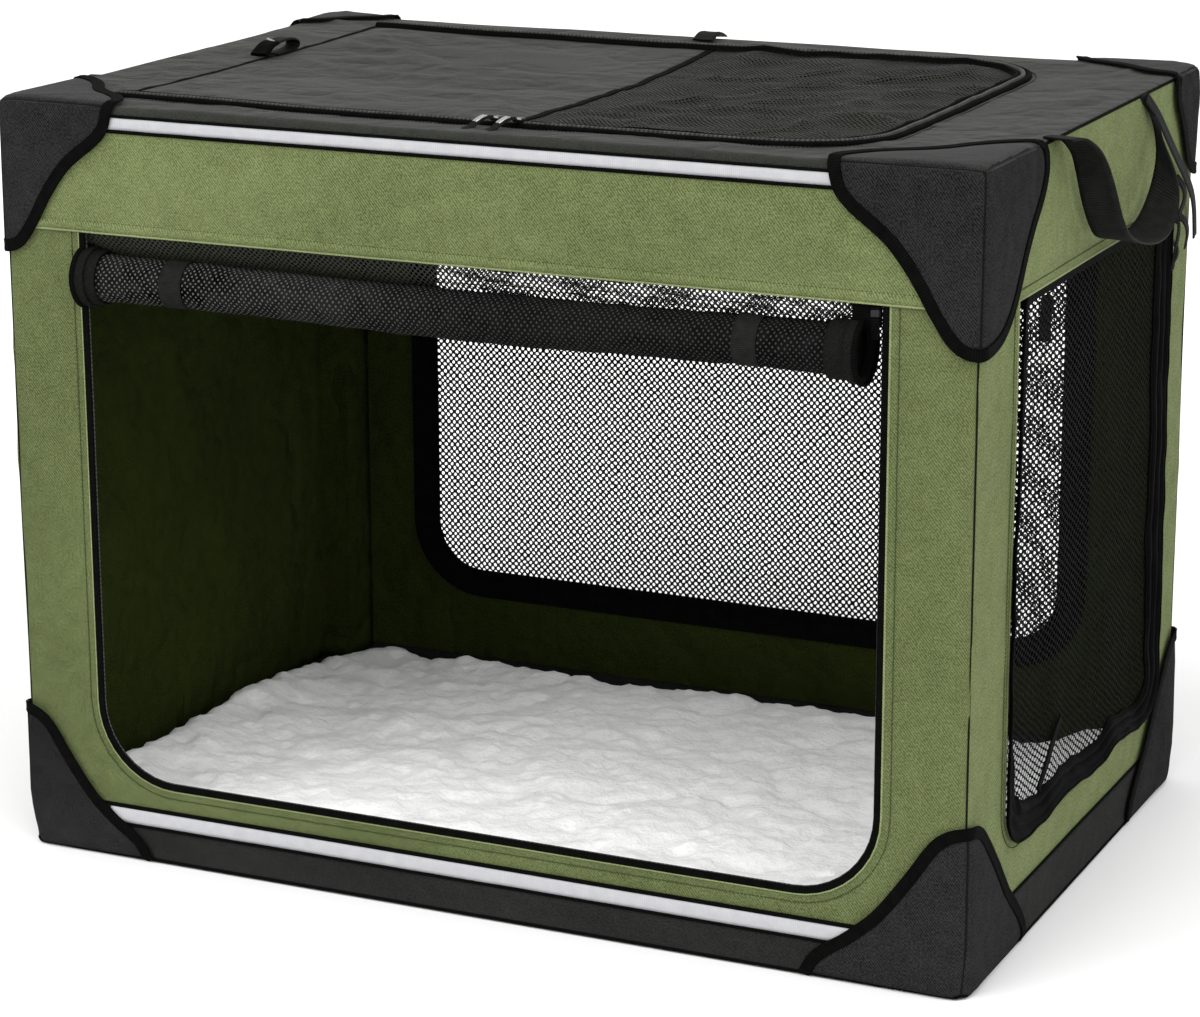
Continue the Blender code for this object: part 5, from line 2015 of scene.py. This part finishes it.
@dataclass(frozen=True)
class Lid(Assembly):
    """The charcoal top panel and its zipped door."""

    skirt: float = 0.0115
    seam_u: float = 0.012
    seam_lean: float = -0.020

    def seam_at(self, v: float) -> float:
        """Where the seam between the door's cloth and its net is."""
        return self.seam_u + self.seam_lean * (v - HATCH.low_v) / (HATCH.high_v - HATCH.low_v)

    def panel_relief(self, u: float, v: float, distance: float) -> float:
        """Wrinkles of the top panel, finer along its zip and none at its outer edges.

        Args:
            u: The place along the face.
            v: The place up the face.
            distance: How far it is from the opening's edge.

        Returns:
            The height.
        """
        point = Vector((u, v, 0.0))
        near = exp(-distance / 0.02)
        clear = clamp(min(HALF_X - abs(u), HALF_Y - abs(v)) / 0.045)
        fine = 0.0012 * ripple(point, 48.0, 9.0) * near
        broad = 0.0034 * creases(Vector((0.4 * u, v, 0.0)), 10.0, 3.0) + 0.0014 * ripple(point, 16.0, 1.0)
        return fine + broad * (1.0 - near) * clear + 0.0009 * near

    def door_relief(self, u: float, v: float) -> float:
        """Wrinkles of the door: long soft folds in its cloth, ripples where the net is gathered to the zip.

        Args:
            u: The place along the face.
            v: The place up the face.

        Returns:
            The height.
        """
        edge = min(v - HATCH.low_v, HATCH.high_v - v, HATCH.high_u - u)
        radius = HATCH.radii[1]
        reach_u = u - (HATCH.high_u - radius)
        reach_v = abs(v - 0.5 * (HATCH.low_v + HATCH.high_v)) - (0.5 * (HATCH.high_v - HATCH.low_v) - radius)
        if reach_u > 0.0 and reach_v > 0.0:
            edge = radius - hypot(reach_u, reach_v)
        edge = max(edge, 0.0)
        near = exp(-edge / 0.030)
        folds = 0.0040 * creases(Vector((0.35 * u, v, 0.0)), 8.0, 7.0)
        folds += 0.0018 * ripple(Vector((0.5 * u, v, 0.0)), 12.0, 2.0)
        folds += 0.0026 * creases(Vector((0.8 * u + 0.6 * v, 0.5 * v, 0.0)), 7.0, 11.0)
        past = u - self.seam_at(v)
        gathers = 0.0050 * near * ripple(Vector((u - 0.6 * v, 0.25 * v, 0.0)), 26.0, 5.0)
        gathers *= min(max(past / 0.06, 0.16), 1.0) * min(edge / 0.014, 1.0)
        slack = 0.0046 * ripple(Vector((u - 0.5 * v, 1.6 * v, 0.0)), 15.0, 4.0)
        slack += 0.0054 * creases(Vector((0.7 * u - 0.5 * v, 0.8 * v, 0.0)), 11.0, 14.0)
        folds += slack * clamp(past / 0.05)
        folds *= 0.25 + 0.75 * min(abs(past) / 0.05, 1.0)
        return folds * (1.0 - near) * clamp((u - HATCH.low_u) / 0.03) + gathers

    def build(self) -> None:
        """Builds the panel, the door, the zip and the fittings."""
        rect = (-HALF_X, HALF_X, -HALF_Y - self.skirt, HALF_Y + self.skirt)
        panel = Panel(HATCH, rect, LID, rings=14)
        self.add("lid_cloth", panel.mesh(self.panel_relief), "charcoal", FIRM_TOP,
                               replaces=["top_panel"], thick=0.0014)
        for sign, side in ((-1, "left"), (1, "right")):
            points = [Vector((sign * HALF_X, y, HEIGHT)) for y in evenly(-HALF_Y, HALF_Y, 40)]
            line = Shell.trace(points, LID - 0.0008)
            self.sew(f"lid_{side}_piping", line, cord(0.0017), "binding", FIRM_TOP)
        cloth = HINGED.cloth(LID, self.door_relief, 0.010, 0.003, lambda v: (HINGED.low_u, self.seam_at(v)))
        piece = self.add("top_door_cloth", cloth, "charcoal", LID_DOOR, replaces=["top_door"], thick=0.0012)
        net = HATCH.cloth(
            LID - 0.0004, self.door_relief, 0.010, 0.003, lambda v: (self.seam_at(v), HATCH.high_u))
        piece = self.add("top_door_net", net, "fine_net", LID_DOOR)
        line = [self.over(self.seam_at(v), v) for v in self.run(HATCH.low_v + 0.003, HATCH.high_v - 0.003)]
        self.sew("top_door_seam", stations(line, UP), band(0.009, 0.0013), "binding", LID_DOOR)
        self.sew("lid_zip_tape", self.lift(self.zip_path(-0.0060), 0.0012), band(0.013, 0.0020), "binding",
                 LID_DOOR)
        self.sew("lid_zip_rib", self.lift(self.zip_path(-0.0084), 0.0034), cord(0.0026), "binding", LID_DOOR)
        self.sew("lid_zip_coil", self.lift(self.zip_path(-0.0016), 0.0040), cord(0.0027), "coil", LID_DOOR)
        self.sew("lid_zip_cord", self.lift(self.zip_path(0.0046), 0.0020), cord(0.0034), "binding", FIRM_TOP)
        self.add("lid_zip_stitches", stitched(self.lift(self.zip_path(0.0120), 0.0006)), "black_thread",
                 FIRM_TOP)
        self.fittings()

    @staticmethod
    def run(low: float, high: float) -> list[float]:
        """Values from low to high at about 12 mm steps."""
        return evenly(low, high, max(2, round((high - low) / 0.012)))

    def over(self, u: float, v: float, extra: float = 0.0) -> Vector:
        """A point on the door's cloth."""
        return Shell.skin(Face.TOP.point(u, v), LID + self.door_relief(u, v) + extra)

    def zip_path(self, offset: float) -> list[Pair]:
        """The zip's way along the front, round the right end and back along the rear.

        Args:
            offset: How far outside the doorway's edge it runs.

        Returns:
            Its points on the lid.
        """
        rim = HATCH.rim(offset, 0.010, 8)
        kept = [(u, v) for u, v, nu, _ in rim if nu > -0.5]
        start = max(range(len(kept)), key=lambda i: dist(kept[i - 1], kept[i]))
        return kept[start:] + kept[:start]

    def lift(self, path: Sequence[Pair], extra: float) -> Line:
        """Stations along a path on the lid, a little above its cloth.

        Args:
            path: The points on the lid.
            extra: How far it stands above the cloth.

        Returns:
            The stations.
        """
        points = [self.over(u, v, extra) for u, v in path]
        clean = [point for i, point in enumerate(points) if i == 0 or (point - points[i - 1]).length > 1e-4]
        return stations(clean, UP)

    def fittings(self) -> None:
        """The sliders, the tie with its buckle, the plain hinge seam and the tab at the back."""
        for sign, side in ((-1, "left"), (1, "right")):
            spot = Vector((0.0125 * sign + 0.017, -0.2865, HEIGHT + LID + 0.0036))
            Slider(self.shop, f"top_{side}_pull", spot, UP, Vector((-0.30, -1, 0)).normalized(),
                   Seat(f"top_{side}_slider_body"), f"top_{side}_slider", length=0.040, width=0.0098,
                   dip=0.0075).build()
        rows = self.run(HATCH.low_v, HATCH.high_v)
        hinge = [Shell.skin(Face.TOP.point(HATCH.low_u, v), LID + self.panel_relief(HATCH.low_u, v, 0.0))
                 for v in rows]
        line = stations(hinge, UP)
        self.sew("top_door_hinge_seam", line, cord(0.0012), "black_thread", FIRM_TOP)
        loop = ((0.022, 0.0012), (0.025, 0.0066), (0.034, 0.0112), (0.046, 0.0136), (0.060, 0.0146),
                (0.074, 0.0136), (0.083, 0.0104), (0.084, 0.0066), (0.076, 0.0040), (0.060, 0.0026),
                (0.042, 0.0018))
        places = smooth_line(
            [Vector((-0.434 + 0.04 * (y - 0.05), y, HEIGHT + LID - 0.002 + z)) for y, z in loop], 4)
        ahead = [(after - before) for before, after in zip(places, places[1:])]
        outs = [Vector((0.0, -step.z, step.y)) for step in [*ahead, ahead[-1]]]
        self.sew("tie_loop", stations(places, outs), band(0.018, 0.0026), "webbing", FIRM_TOP,
                 replaces=["top_door_tie"])
        bar = [Vector((-0.4345 + 0.0085 * share, 0.0425 - 0.0035 * share,
                       HEIGHT + LID + 0.0132 - 0.0016 * share))
               for share in evenly(-1.0, 1.0, 8)]
        self.sew("tie_buckle", stations(bar, UP), band(0.0020, 0.0016), "bare_metal", FIRM_TOP)
        base = HEIGHT + LID + 0.0010
        wedge = [Vector((-0.4345, 0.012 + 0.028 * share, base + 0.0098 * sin(pi / 2 * share)))
                 for share in evenly(0.0, 1.0, 7)]
        self.sew("tie_wedge", stations(wedge, UP), band(0.021, 0.0040), "binding", FIRM_TOP)
        tab = [Vector((-0.033, HALF_Y - 0.040 + 0.042 * share, base + 0.006 * sin(pi * share)))
               for share in evenly(0.0, 1.0, 8)]
        self.sew("back_tab", stations(tab, UP), band(0.026, 0.0024), "webbing", FIRM_TOP)


@dataclass(frozen=True)
class FrontRoll(Assembly):
    """The front net door, rolled up under the header and held by two straps."""

    centre_y: float = -0.3420
    centre_z: float = 0.6310
    radius: float = 0.0248
    low_x: float = -0.438
    high_x: float = 0.4140
    turns: float = 5.5
    core: float = 0.0060
    recess: float = 0.012
    flat_top: float = 0.6950
    straps: Pair = (-0.327, 0.300)
    strap_width: float = 0.025

    def section(self, share: float) -> Pair:
        """The rolled cloth's way from its inner end to where it leaves the roll, as y and z offsets.

        Args:
            share: The share of the way.

        Returns:
            The offsets.
        """
        angle = tau * self.turns * (share - 1.0) + radians(52.0)
        radius = self.core + (self.radius - self.core) * share
        return radius * cos(angle), radius * sin(angle)

    def squeeze(self, x: float) -> float:
        """How far the roll keeps its size at a place: straps draw it in, and it is a little uneven.

        Args:
            x: The place along the roll.

        Returns:
            A factor near one.
        """
        pinch = sum(exp(-(((x - strap) / 0.016) ** 2)) for strap in self.straps)
        sag = 0.030 * ripple(Vector((x, 0.0, 0.0)), 7.0, 3.0)
        return 1.0 - 0.10 * min(pinch, 1.0) + sag

    @staticmethod
    def droop(x: float) -> float:
        """How far the roll hangs down between its straps."""
        return -0.0030 * bell((x - 0.02) / 0.32)

    def build(self) -> None:
        """Builds the rolled cloth, its hems and its straps."""
        steps = 150
        path = [self.section(i / steps) for i in range(steps + 1)]
        lengths = travelled(path)

        def place(s: float, t: float) -> Placed:
            """A point of the rolled cloth.

            Args:
                s: The share along its winding.
                t: The share along the roll.

            Returns:
                The point and its UV.
            """
            i = round(s * steps)
            x = self.low_x + self.recess + (self.high_x - self.low_x - 2 * self.recess) * t
            y, z = path[i]
            size = self.squeeze(x)
            bump = 0.0009 * ripple(Vector((x, y, z)), 30.0, 2.0)
            bump += 0.0012 * creases(Vector((0.5 * x, 2 * y, 2 * z)), 12.0, 1.0)
            middle = Vector((x, self.centre_y, self.centre_z + self.droop(x)))
            radial = Vector((0.0, y, z))
            return middle + radial * size + radial.normalized() * bump, (x, lengths[i])

        mesh = woven(steps, 96, place, flip=True)
        roll = self.add("rolled_door", mesh, "rolled_net", replaces=["front_roll"], thick=0.0014, crease=80.0)
        end_y, end_z = path[-1]
        top_y = WALL - HALF_Y + 0.009 - self.centre_y

        def hang(s: float, t: float) -> Placed:
            """A point of the net between the doorway's top and the roll.

            Args:
                s: The share along it.
                t: The share up from the roll.

            Returns:
                The point and its UV.
            """
            x = (self.low_x + (self.high_x - self.low_x) * s) * (1.0 + 0.012 * t)
            y = end_y + (top_y - end_y) * t ** 0.7
            z = end_z + (self.flat_top - self.centre_z - end_z) * t + self.droop(x) * (1.0 - t)
            wave = 0.0016 * ripple(Vector((x, 0.0, 0.0)), 9.0, 4.0) * sin(pi * t)
            return Vector((x, self.centre_y + y + wave, self.centre_z + z)), (x, lengths[-1] + 0.05 * t)

        veil = self.add("hanging_net", woven(80, 6, hang), "veil_net")
        for name, low, high, end in (("left", self.low_x, self.low_x + 0.024, self.low_x),
                                     ("right", self.high_x - 0.032, self.high_x, self.high_x)):
            self.add(f"roll_{name}_hem", self.ring(low, high, self.radius + 0.0018), "hem", thick=0.0022)
            inward = 1 if name == "left" else -1
            inner = end + 0.012 * inward
            self.add(f"roll_{name}_fold", self.ring(min(inner, end), max(inner, end), self.radius + 0.0036),
                     "hem", thick=0.0030)
            self.add(f"roll_{name}_rim", self.ring(end - 0.0022, end + 0.0022, self.radius + 0.0048),
                     "binding", thick=0.0040)
            # A black disc inside each end of the roll paints the shade in its hollow.
            line = [Station(Vector((end + x, self.centre_y, self.centre_z + self.droop(end))), UP, AHEAD)
                    for x in (0.009 * inward - 0.001, 0.009 * inward + 0.001)]
            self.sew(f"roll_{name}_shade_disc", line, cord(self.radius - 0.0008, 24), "binding")
        self.front_pull()
        straps = [self.strap(name, x) for name, x in zip(("left", "right"), self.straps)]

    def front_pull(self) -> None:
        """The front zip's tab and pull, which hang beside the roll's right end."""
        tab = [Vector((0.4170, -0.3475, z)) for z in evenly(0.680, 0.656, 4)]
        self.sew("front_zip_tab", stations(tab, AHEAD), band(0.030, 0.0024), "binding")
        points = [Vector((0.4270 + 0.001 * sin(10 * share / 3),
                          -0.3515 - 0.003 * sin(pi * share), 0.6760 - 0.030 * share))
                  for share in evenly(0.0, 1.0, 10)]
        self.sew("front_zip_pull", stations(points, AHEAD), band(0.0086, 0.0024), "binding")
        self.sew("front_zip_bail", stations(points[1:4], AHEAD), band(0.0096, 0.0040), "slider")

    def ring(self, low: float, high: float, radius: float) -> Mesh:
        """A sleeve round the roll.

        Args:
            low: Where it starts.
            high: Where it ends.
            radius: Its radius.

        Returns:
            The mesh.
        """

        def place(s: float, t: float) -> Placed:
            """A point of the sleeve.

            Args:
                s: The share round it.
                t: The share along it.

            Returns:
                The point and its UV.
            """
            angle = tau * s
            x = low + (high - low) * t
            size = radius * self.squeeze(x) * (1.0 + 0.012 * sin(3 * angle))
            z = self.centre_z + self.droop(x) + size * sin(angle)
            return Vector((x, self.centre_y + size * cos(angle), z)), (s * 0.18, x)

        return woven(40, 6, place, flip=True, weld=True)

    def strap(self, name: str, x: float) -> Piece:
        """One elastic strap round the roll, in front of the net that hangs down to it.

        Args:
            name: The name of the piece.
            x: The place along the roll.

        Returns:
            The strap.
        """
        radius = self.radius * self.squeeze(x) + 0.0024
        turns = [radians(degrees) for degrees in evenly(76.0, 426.0, 34)]
        path = [(radius * cos(angle), radius * sin(angle)) for angle in turns]

        def place(s: float, t: float) -> Placed:
            """A point of the strap."""
            (y, z), across = path[round(s * (len(path) - 1))], self.strap_width * (t - 0.5)
            return Vector(
                (x + across, self.centre_y + y, self.centre_z + z + self.droop(x))), (s * 0.2, across)

        mesh = woven(len(path) - 1, 6, place)
        return self.add(f"{name}_strap", mesh, "strap", replaces=[f"{name}_roll_strap"], thick=0.0015)


Rim = tuple[tuple[float, float, float], ...]
WALL_RIM: Rim = (
    (-0.012, -0.158, 0.8120), (-0.008, -0.138, 0.8110), (-0.003, -0.121, 0.8030), (0.001, -0.107, 0.7900),
    (0.002, -0.097, 0.7750), (0.003, -0.088, 0.7560), (0.003, -0.075, 0.7370), (0.004, -0.057, 0.7150),
    (0.005, -0.031, 0.6960), (0.005, 0.022, 0.6850), (0.005, 0.076, 0.6820), (0.006, 0.112, 0.6890),
    (0.006, 0.144, 0.7060), (0.006, 0.164, 0.7270), (0.005, 0.173, 0.7480), (0.002, 0.172, 0.7700),
    (-0.001, 0.160, 0.7900), (-0.005, 0.140, 0.8080))
FREE_RIM: Rim = (
    (0.018, -0.160, 0.8110), (0.024, -0.140, 0.8100), (0.029, -0.127, 0.8040), (0.034, -0.115, 0.7940),
    (0.037, -0.101, 0.7790), (0.038, -0.084, 0.7600), (0.038, -0.068, 0.7410), (0.039, -0.052, 0.7190),
    (0.040, -0.026, 0.6970), (0.041, 0.022, 0.6810), (0.041, 0.076, 0.6730), (0.041, 0.115, 0.6770),
    (0.040, 0.143, 0.6920), (0.036, 0.155, 0.7120), (0.027, 0.161, 0.7340), (0.015, 0.169, 0.7560),
    (0.006, 0.172, 0.7820), (-0.002, 0.164, 0.8090))


@dataclass(frozen=True)
class Handle(Assembly):
    """A webbing carry loop at one end, which hangs outside the wall and turns at its rear."""

    sign: int
    name: str
    thickness: float = 0.0022

    def rim(self, points: Rim) -> list[Vector]:
        """One edge of the webbing, smoothed.

        Args:
            points: The edge's points at the right end.

        Returns:
            The points in the row frame.
        """
        rise = 1.0 if self.sign > 0 else 0.35
        return smooth_line([Vector((self.sign * (HALF_X + x), y,
                                    z if z < 0.80 else 0.80 + rise * (z - 0.80)))
                            for x, y, z in points])

    def build(self) -> None:
        """Builds the loop between its two edges."""
        near, free = self.rim(WALL_RIM), self.rim(FREE_RIM)
        lengths = travelled(free)

        def place(s: float, t: float) -> Placed:
            """A point between the two edges."""
            i = round(s * (len(near) - 1))
            return near[i].lerp(free[i], t), (lengths[i], 0.036 * t)

        mesh = woven(len(near) - 1, 6, place, flip=self.sign > 0)
        self.add(f"{self.name}_handle_webbing", mesh, "webbing", Seat(f"{self.name}_handle_body"),
                 [f"{self.name}_handle"], self.thickness)


@dataclass(frozen=True)
class Mat(Assembly):
    """The fleece mat: a padded case, inflated as cloth, with a curly pile."""

    half_length: float = 0.502
    half_width: float = 0.318
    low: float = 0.0035
    high: float = 0.0300
    radius: float = 0.050
    cell: float = 0.011
    turned_up: float = 0.032
    curls: tuple[tuple[float, float, float], ...] = ((0.0060, 14.0, 1.0), (0.0044, 38.0, 2.0),
                                                     (0.0030, 90.0, 3.0))

    def outline(self, s: float, t: float) -> Pair:
        """A point of the mat in plan from two shares, with its corners rounded.

        Args:
            s: The share along it.
            t: The share across it.

        Returns:
            The point's x and y.
        """
        x = self.half_length * (2 * s - 1)
        y = self.half_width * (2 * t - 1)
        over_x = abs(x) - (self.half_length - self.radius)
        over_y = abs(y) - (self.half_width - self.radius)
        if over_x > 0 and over_y > 0:
            reach = max(over_x, over_y) / hypot(over_x, over_y)
            x = copysign(self.half_length - self.radius + over_x * reach, x)
            y = copysign(self.half_width - self.radius + over_y * reach, y)
        return x, y

    def build(self) -> None:
        """Builds the case, inflates it and raises its pile."""
        cells = (round(2 * self.half_length / self.cell), round(2 * self.half_width / self.cell))

        def place(s: float, t: float) -> Placed:
            """A point of the upper side before it is inflated."""
            x, y = self.outline(s, t)
            return Vector((x, y, self.high)), (x, y)

        mesh = woven(*cells, place)
        made = bmesh.ops.extrude_face_region(mesh, geom=mesh.faces[:])
        lower = [item for item in made["geom"] if isinstance(item, bmesh.types.BMVert)]
        bmesh.ops.translate(mesh, vec=(0, 0, self.low - self.high), verts=lower)
        bmesh.ops.recalc_face_normals(mesh, faces=mesh.faces)
        mat = self.add("fleece_mat", mesh, "fleece", FIRM_BASE, replaces=["mat"], crease=180.0)
        self.inflate(mat)
        self.raise_pile(mat)

    def inflate(self, mat: Piece) -> None:
        """Runs a short cloth simulation with pressure, and keeps its result within the mat's height.

        Args:
            mat: The mat.
        """
        rest = [vert.co.copy() for vert in mat.data.vertices]
        cloth = mat.modifiers.new("Cloth", "CLOTH")
        cloth.settings.use_pressure = True
        cloth.settings.uniform_pressure_force = 4.0
        cloth.settings.effector_weights.gravity = 0.0
        cloth.settings.tension_stiffness = 20.0
        cloth.settings.bending_stiffness = 1.5
        cloth.point_cache.frame_start = 1
        cloth.point_cache.frame_end = 20
        scene = bpy.context.scene
        for frame in range(1, 21):
            scene.frame_set(frame)
        graph = bpy.context.evaluated_depsgraph_get()
        moved = [vert.co.copy() for vert in mat.evaluated_get(graph).data.vertices]
        mat.modifiers.remove(cloth)
        scene.frame_set(1)
        for vert, before, after in zip(mat.data.vertices, rest, moved):
            step = after - before
            step.z = min(max(step.z, -0.010), 0.012)
            step.x = min(max(step.x, -0.006), 0.006)
            step.y = min(max(step.y, -0.006), 0.006)
            place = before + step
            place.z = max(place.z, self.low)
            vert.co = place

    def raise_pile(self, mat: Piece) -> None:
        """Divides the mesh once and lifts the curls of the fleece out of it.

        Args:
            mat: The mat.
        """
        mesh = bmesh.new()
        mesh.from_mesh(mat.data)
        bmesh.ops.subdivide_edges(mesh, edges=mesh.edges[:], cuts=1, use_grid_fill=True, smooth=0.6)
        mesh.normal_update()
        for vert in mesh.verts:
            point = vert.co.copy()
            crown = 0.0
            lumps = sum(depth * ripple(point, scale, seed) for depth, scale, seed in self.curls)
            lumps -= 0.0050 * creases(point, 6.0, 5.0)
            rise = clamp((abs(point.x) - 0.370) / 0.120)
            if point.x > 0.0:
                rise *= 0.35 + 0.65 * clamp((point.y + 0.10) / 0.30)
            else:
                rise *= 0.75 * clamp((0.30 - point.y) / 0.26)
            vert.co = point + vert.normal * (lumps + crown)
            vert.co.z += self.turned_up * rise * rise * (3.0 - 2.0 * rise)
            vert.co.z = max(vert.co.z, self.low)
        mesh.to_mesh(mat.data)
        mesh.free()
        mat.data.shade_smooth()


@dataclass(frozen=True)
class Studio:
    """A pale floor, soft light from the front left, and the photograph's camera."""

    camera_at: tuple[float, float, float] = (1.5539, -3.4069, 1.3797)
    camera_turn: tuple[float, float, float] = (74.5625, 0.1513, 24.7109)
    lens: float = 107.5

    def build(self) -> None:
        """Builds the floor, the lights and the camera."""
        mesh = bmesh.new()
        bmesh.ops.create_grid(mesh, x_segments=1, y_segments=1, size=30.0)
        data = bpy.data.meshes.new("floor")
        mesh.to_mesh(data)
        mesh.free()
        floor = bpy.data.objects.new("floor", data)
        bpy.context.scene.collection.objects.link(floor)
        material = bpy.data.materials.new("studio_floor")
        material.use_nodes = True
        shader = material.node_tree.nodes["Principled BSDF"]
        shader.inputs["Base Color"].default_value = (0.90, 0.90, 0.90, 1.0)
        shader.inputs["Roughness"].default_value = 0.9
        data.materials.append(material)
        world = bpy.data.worlds.new("studio")
        world.use_nodes = True
        background = world.node_tree.nodes["Background"]
        background.inputs["Color"].default_value = (1.0, 1.0, 1.0, 1.0)
        background.inputs["Strength"].default_value = 0.86
        bpy.context.scene.world = world
        self.sun("key", (radians(40), 0.0, radians(-20)), 1.6, 40.0)
        self.sun("fill", (radians(55), 0.0, radians(60)), 1.4, 60.0)
        bpy.context.scene.view_settings.view_transform = "Standard"
        lens = bpy.data.cameras.new("camera")
        lens.lens = self.lens
        lens.sensor_width = 36.0
        lens.clip_end = 100.0
        camera = bpy.data.objects.new("camera", lens)
        camera.location = self.camera_at
        camera.rotation_euler = [radians(angle) for angle in self.camera_turn]
        bpy.context.scene.collection.objects.link(camera)
        bpy.context.scene.camera = camera

    @staticmethod
    def sun(name: str, turn: tuple[float, float, float], strength: float, spread: float) -> None:
        """A broad distant light.

        Args:
            name: The light's name.
            turn: Its rotation.
            strength: Its power.
            spread: How broad it is, in degrees.
        """
        light = bpy.data.lights.new(name, "SUN")
        light.energy = strength
        light.angle = radians(spread)
        lamp = bpy.data.objects.new(name, light)
        lamp.rotation_euler = turn
        bpy.context.scene.collection.objects.link(lamp)


def main() -> None:
    """Builds the crate's looks round its frame."""
    logging.basicConfig(level=logging.INFO, format="%(name)s: %(message)s")
    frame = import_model()
    shop = Workshop()
    for assembly in (Skeleton(shop, frame["nodes"]), Tub(shop), Walls(shop), Linings(shop), Window(shop),
                     EndDoor(shop), FrontTrim(shop), FrontRoll(shop), Lid(shop), Guards(shop),
                     Handle(shop, 1, "right"), Handle(shop, -1, "left"), Mat(shop)):
        assembly.build()
    Studio().build()


if __name__ == "__main__":
    main()
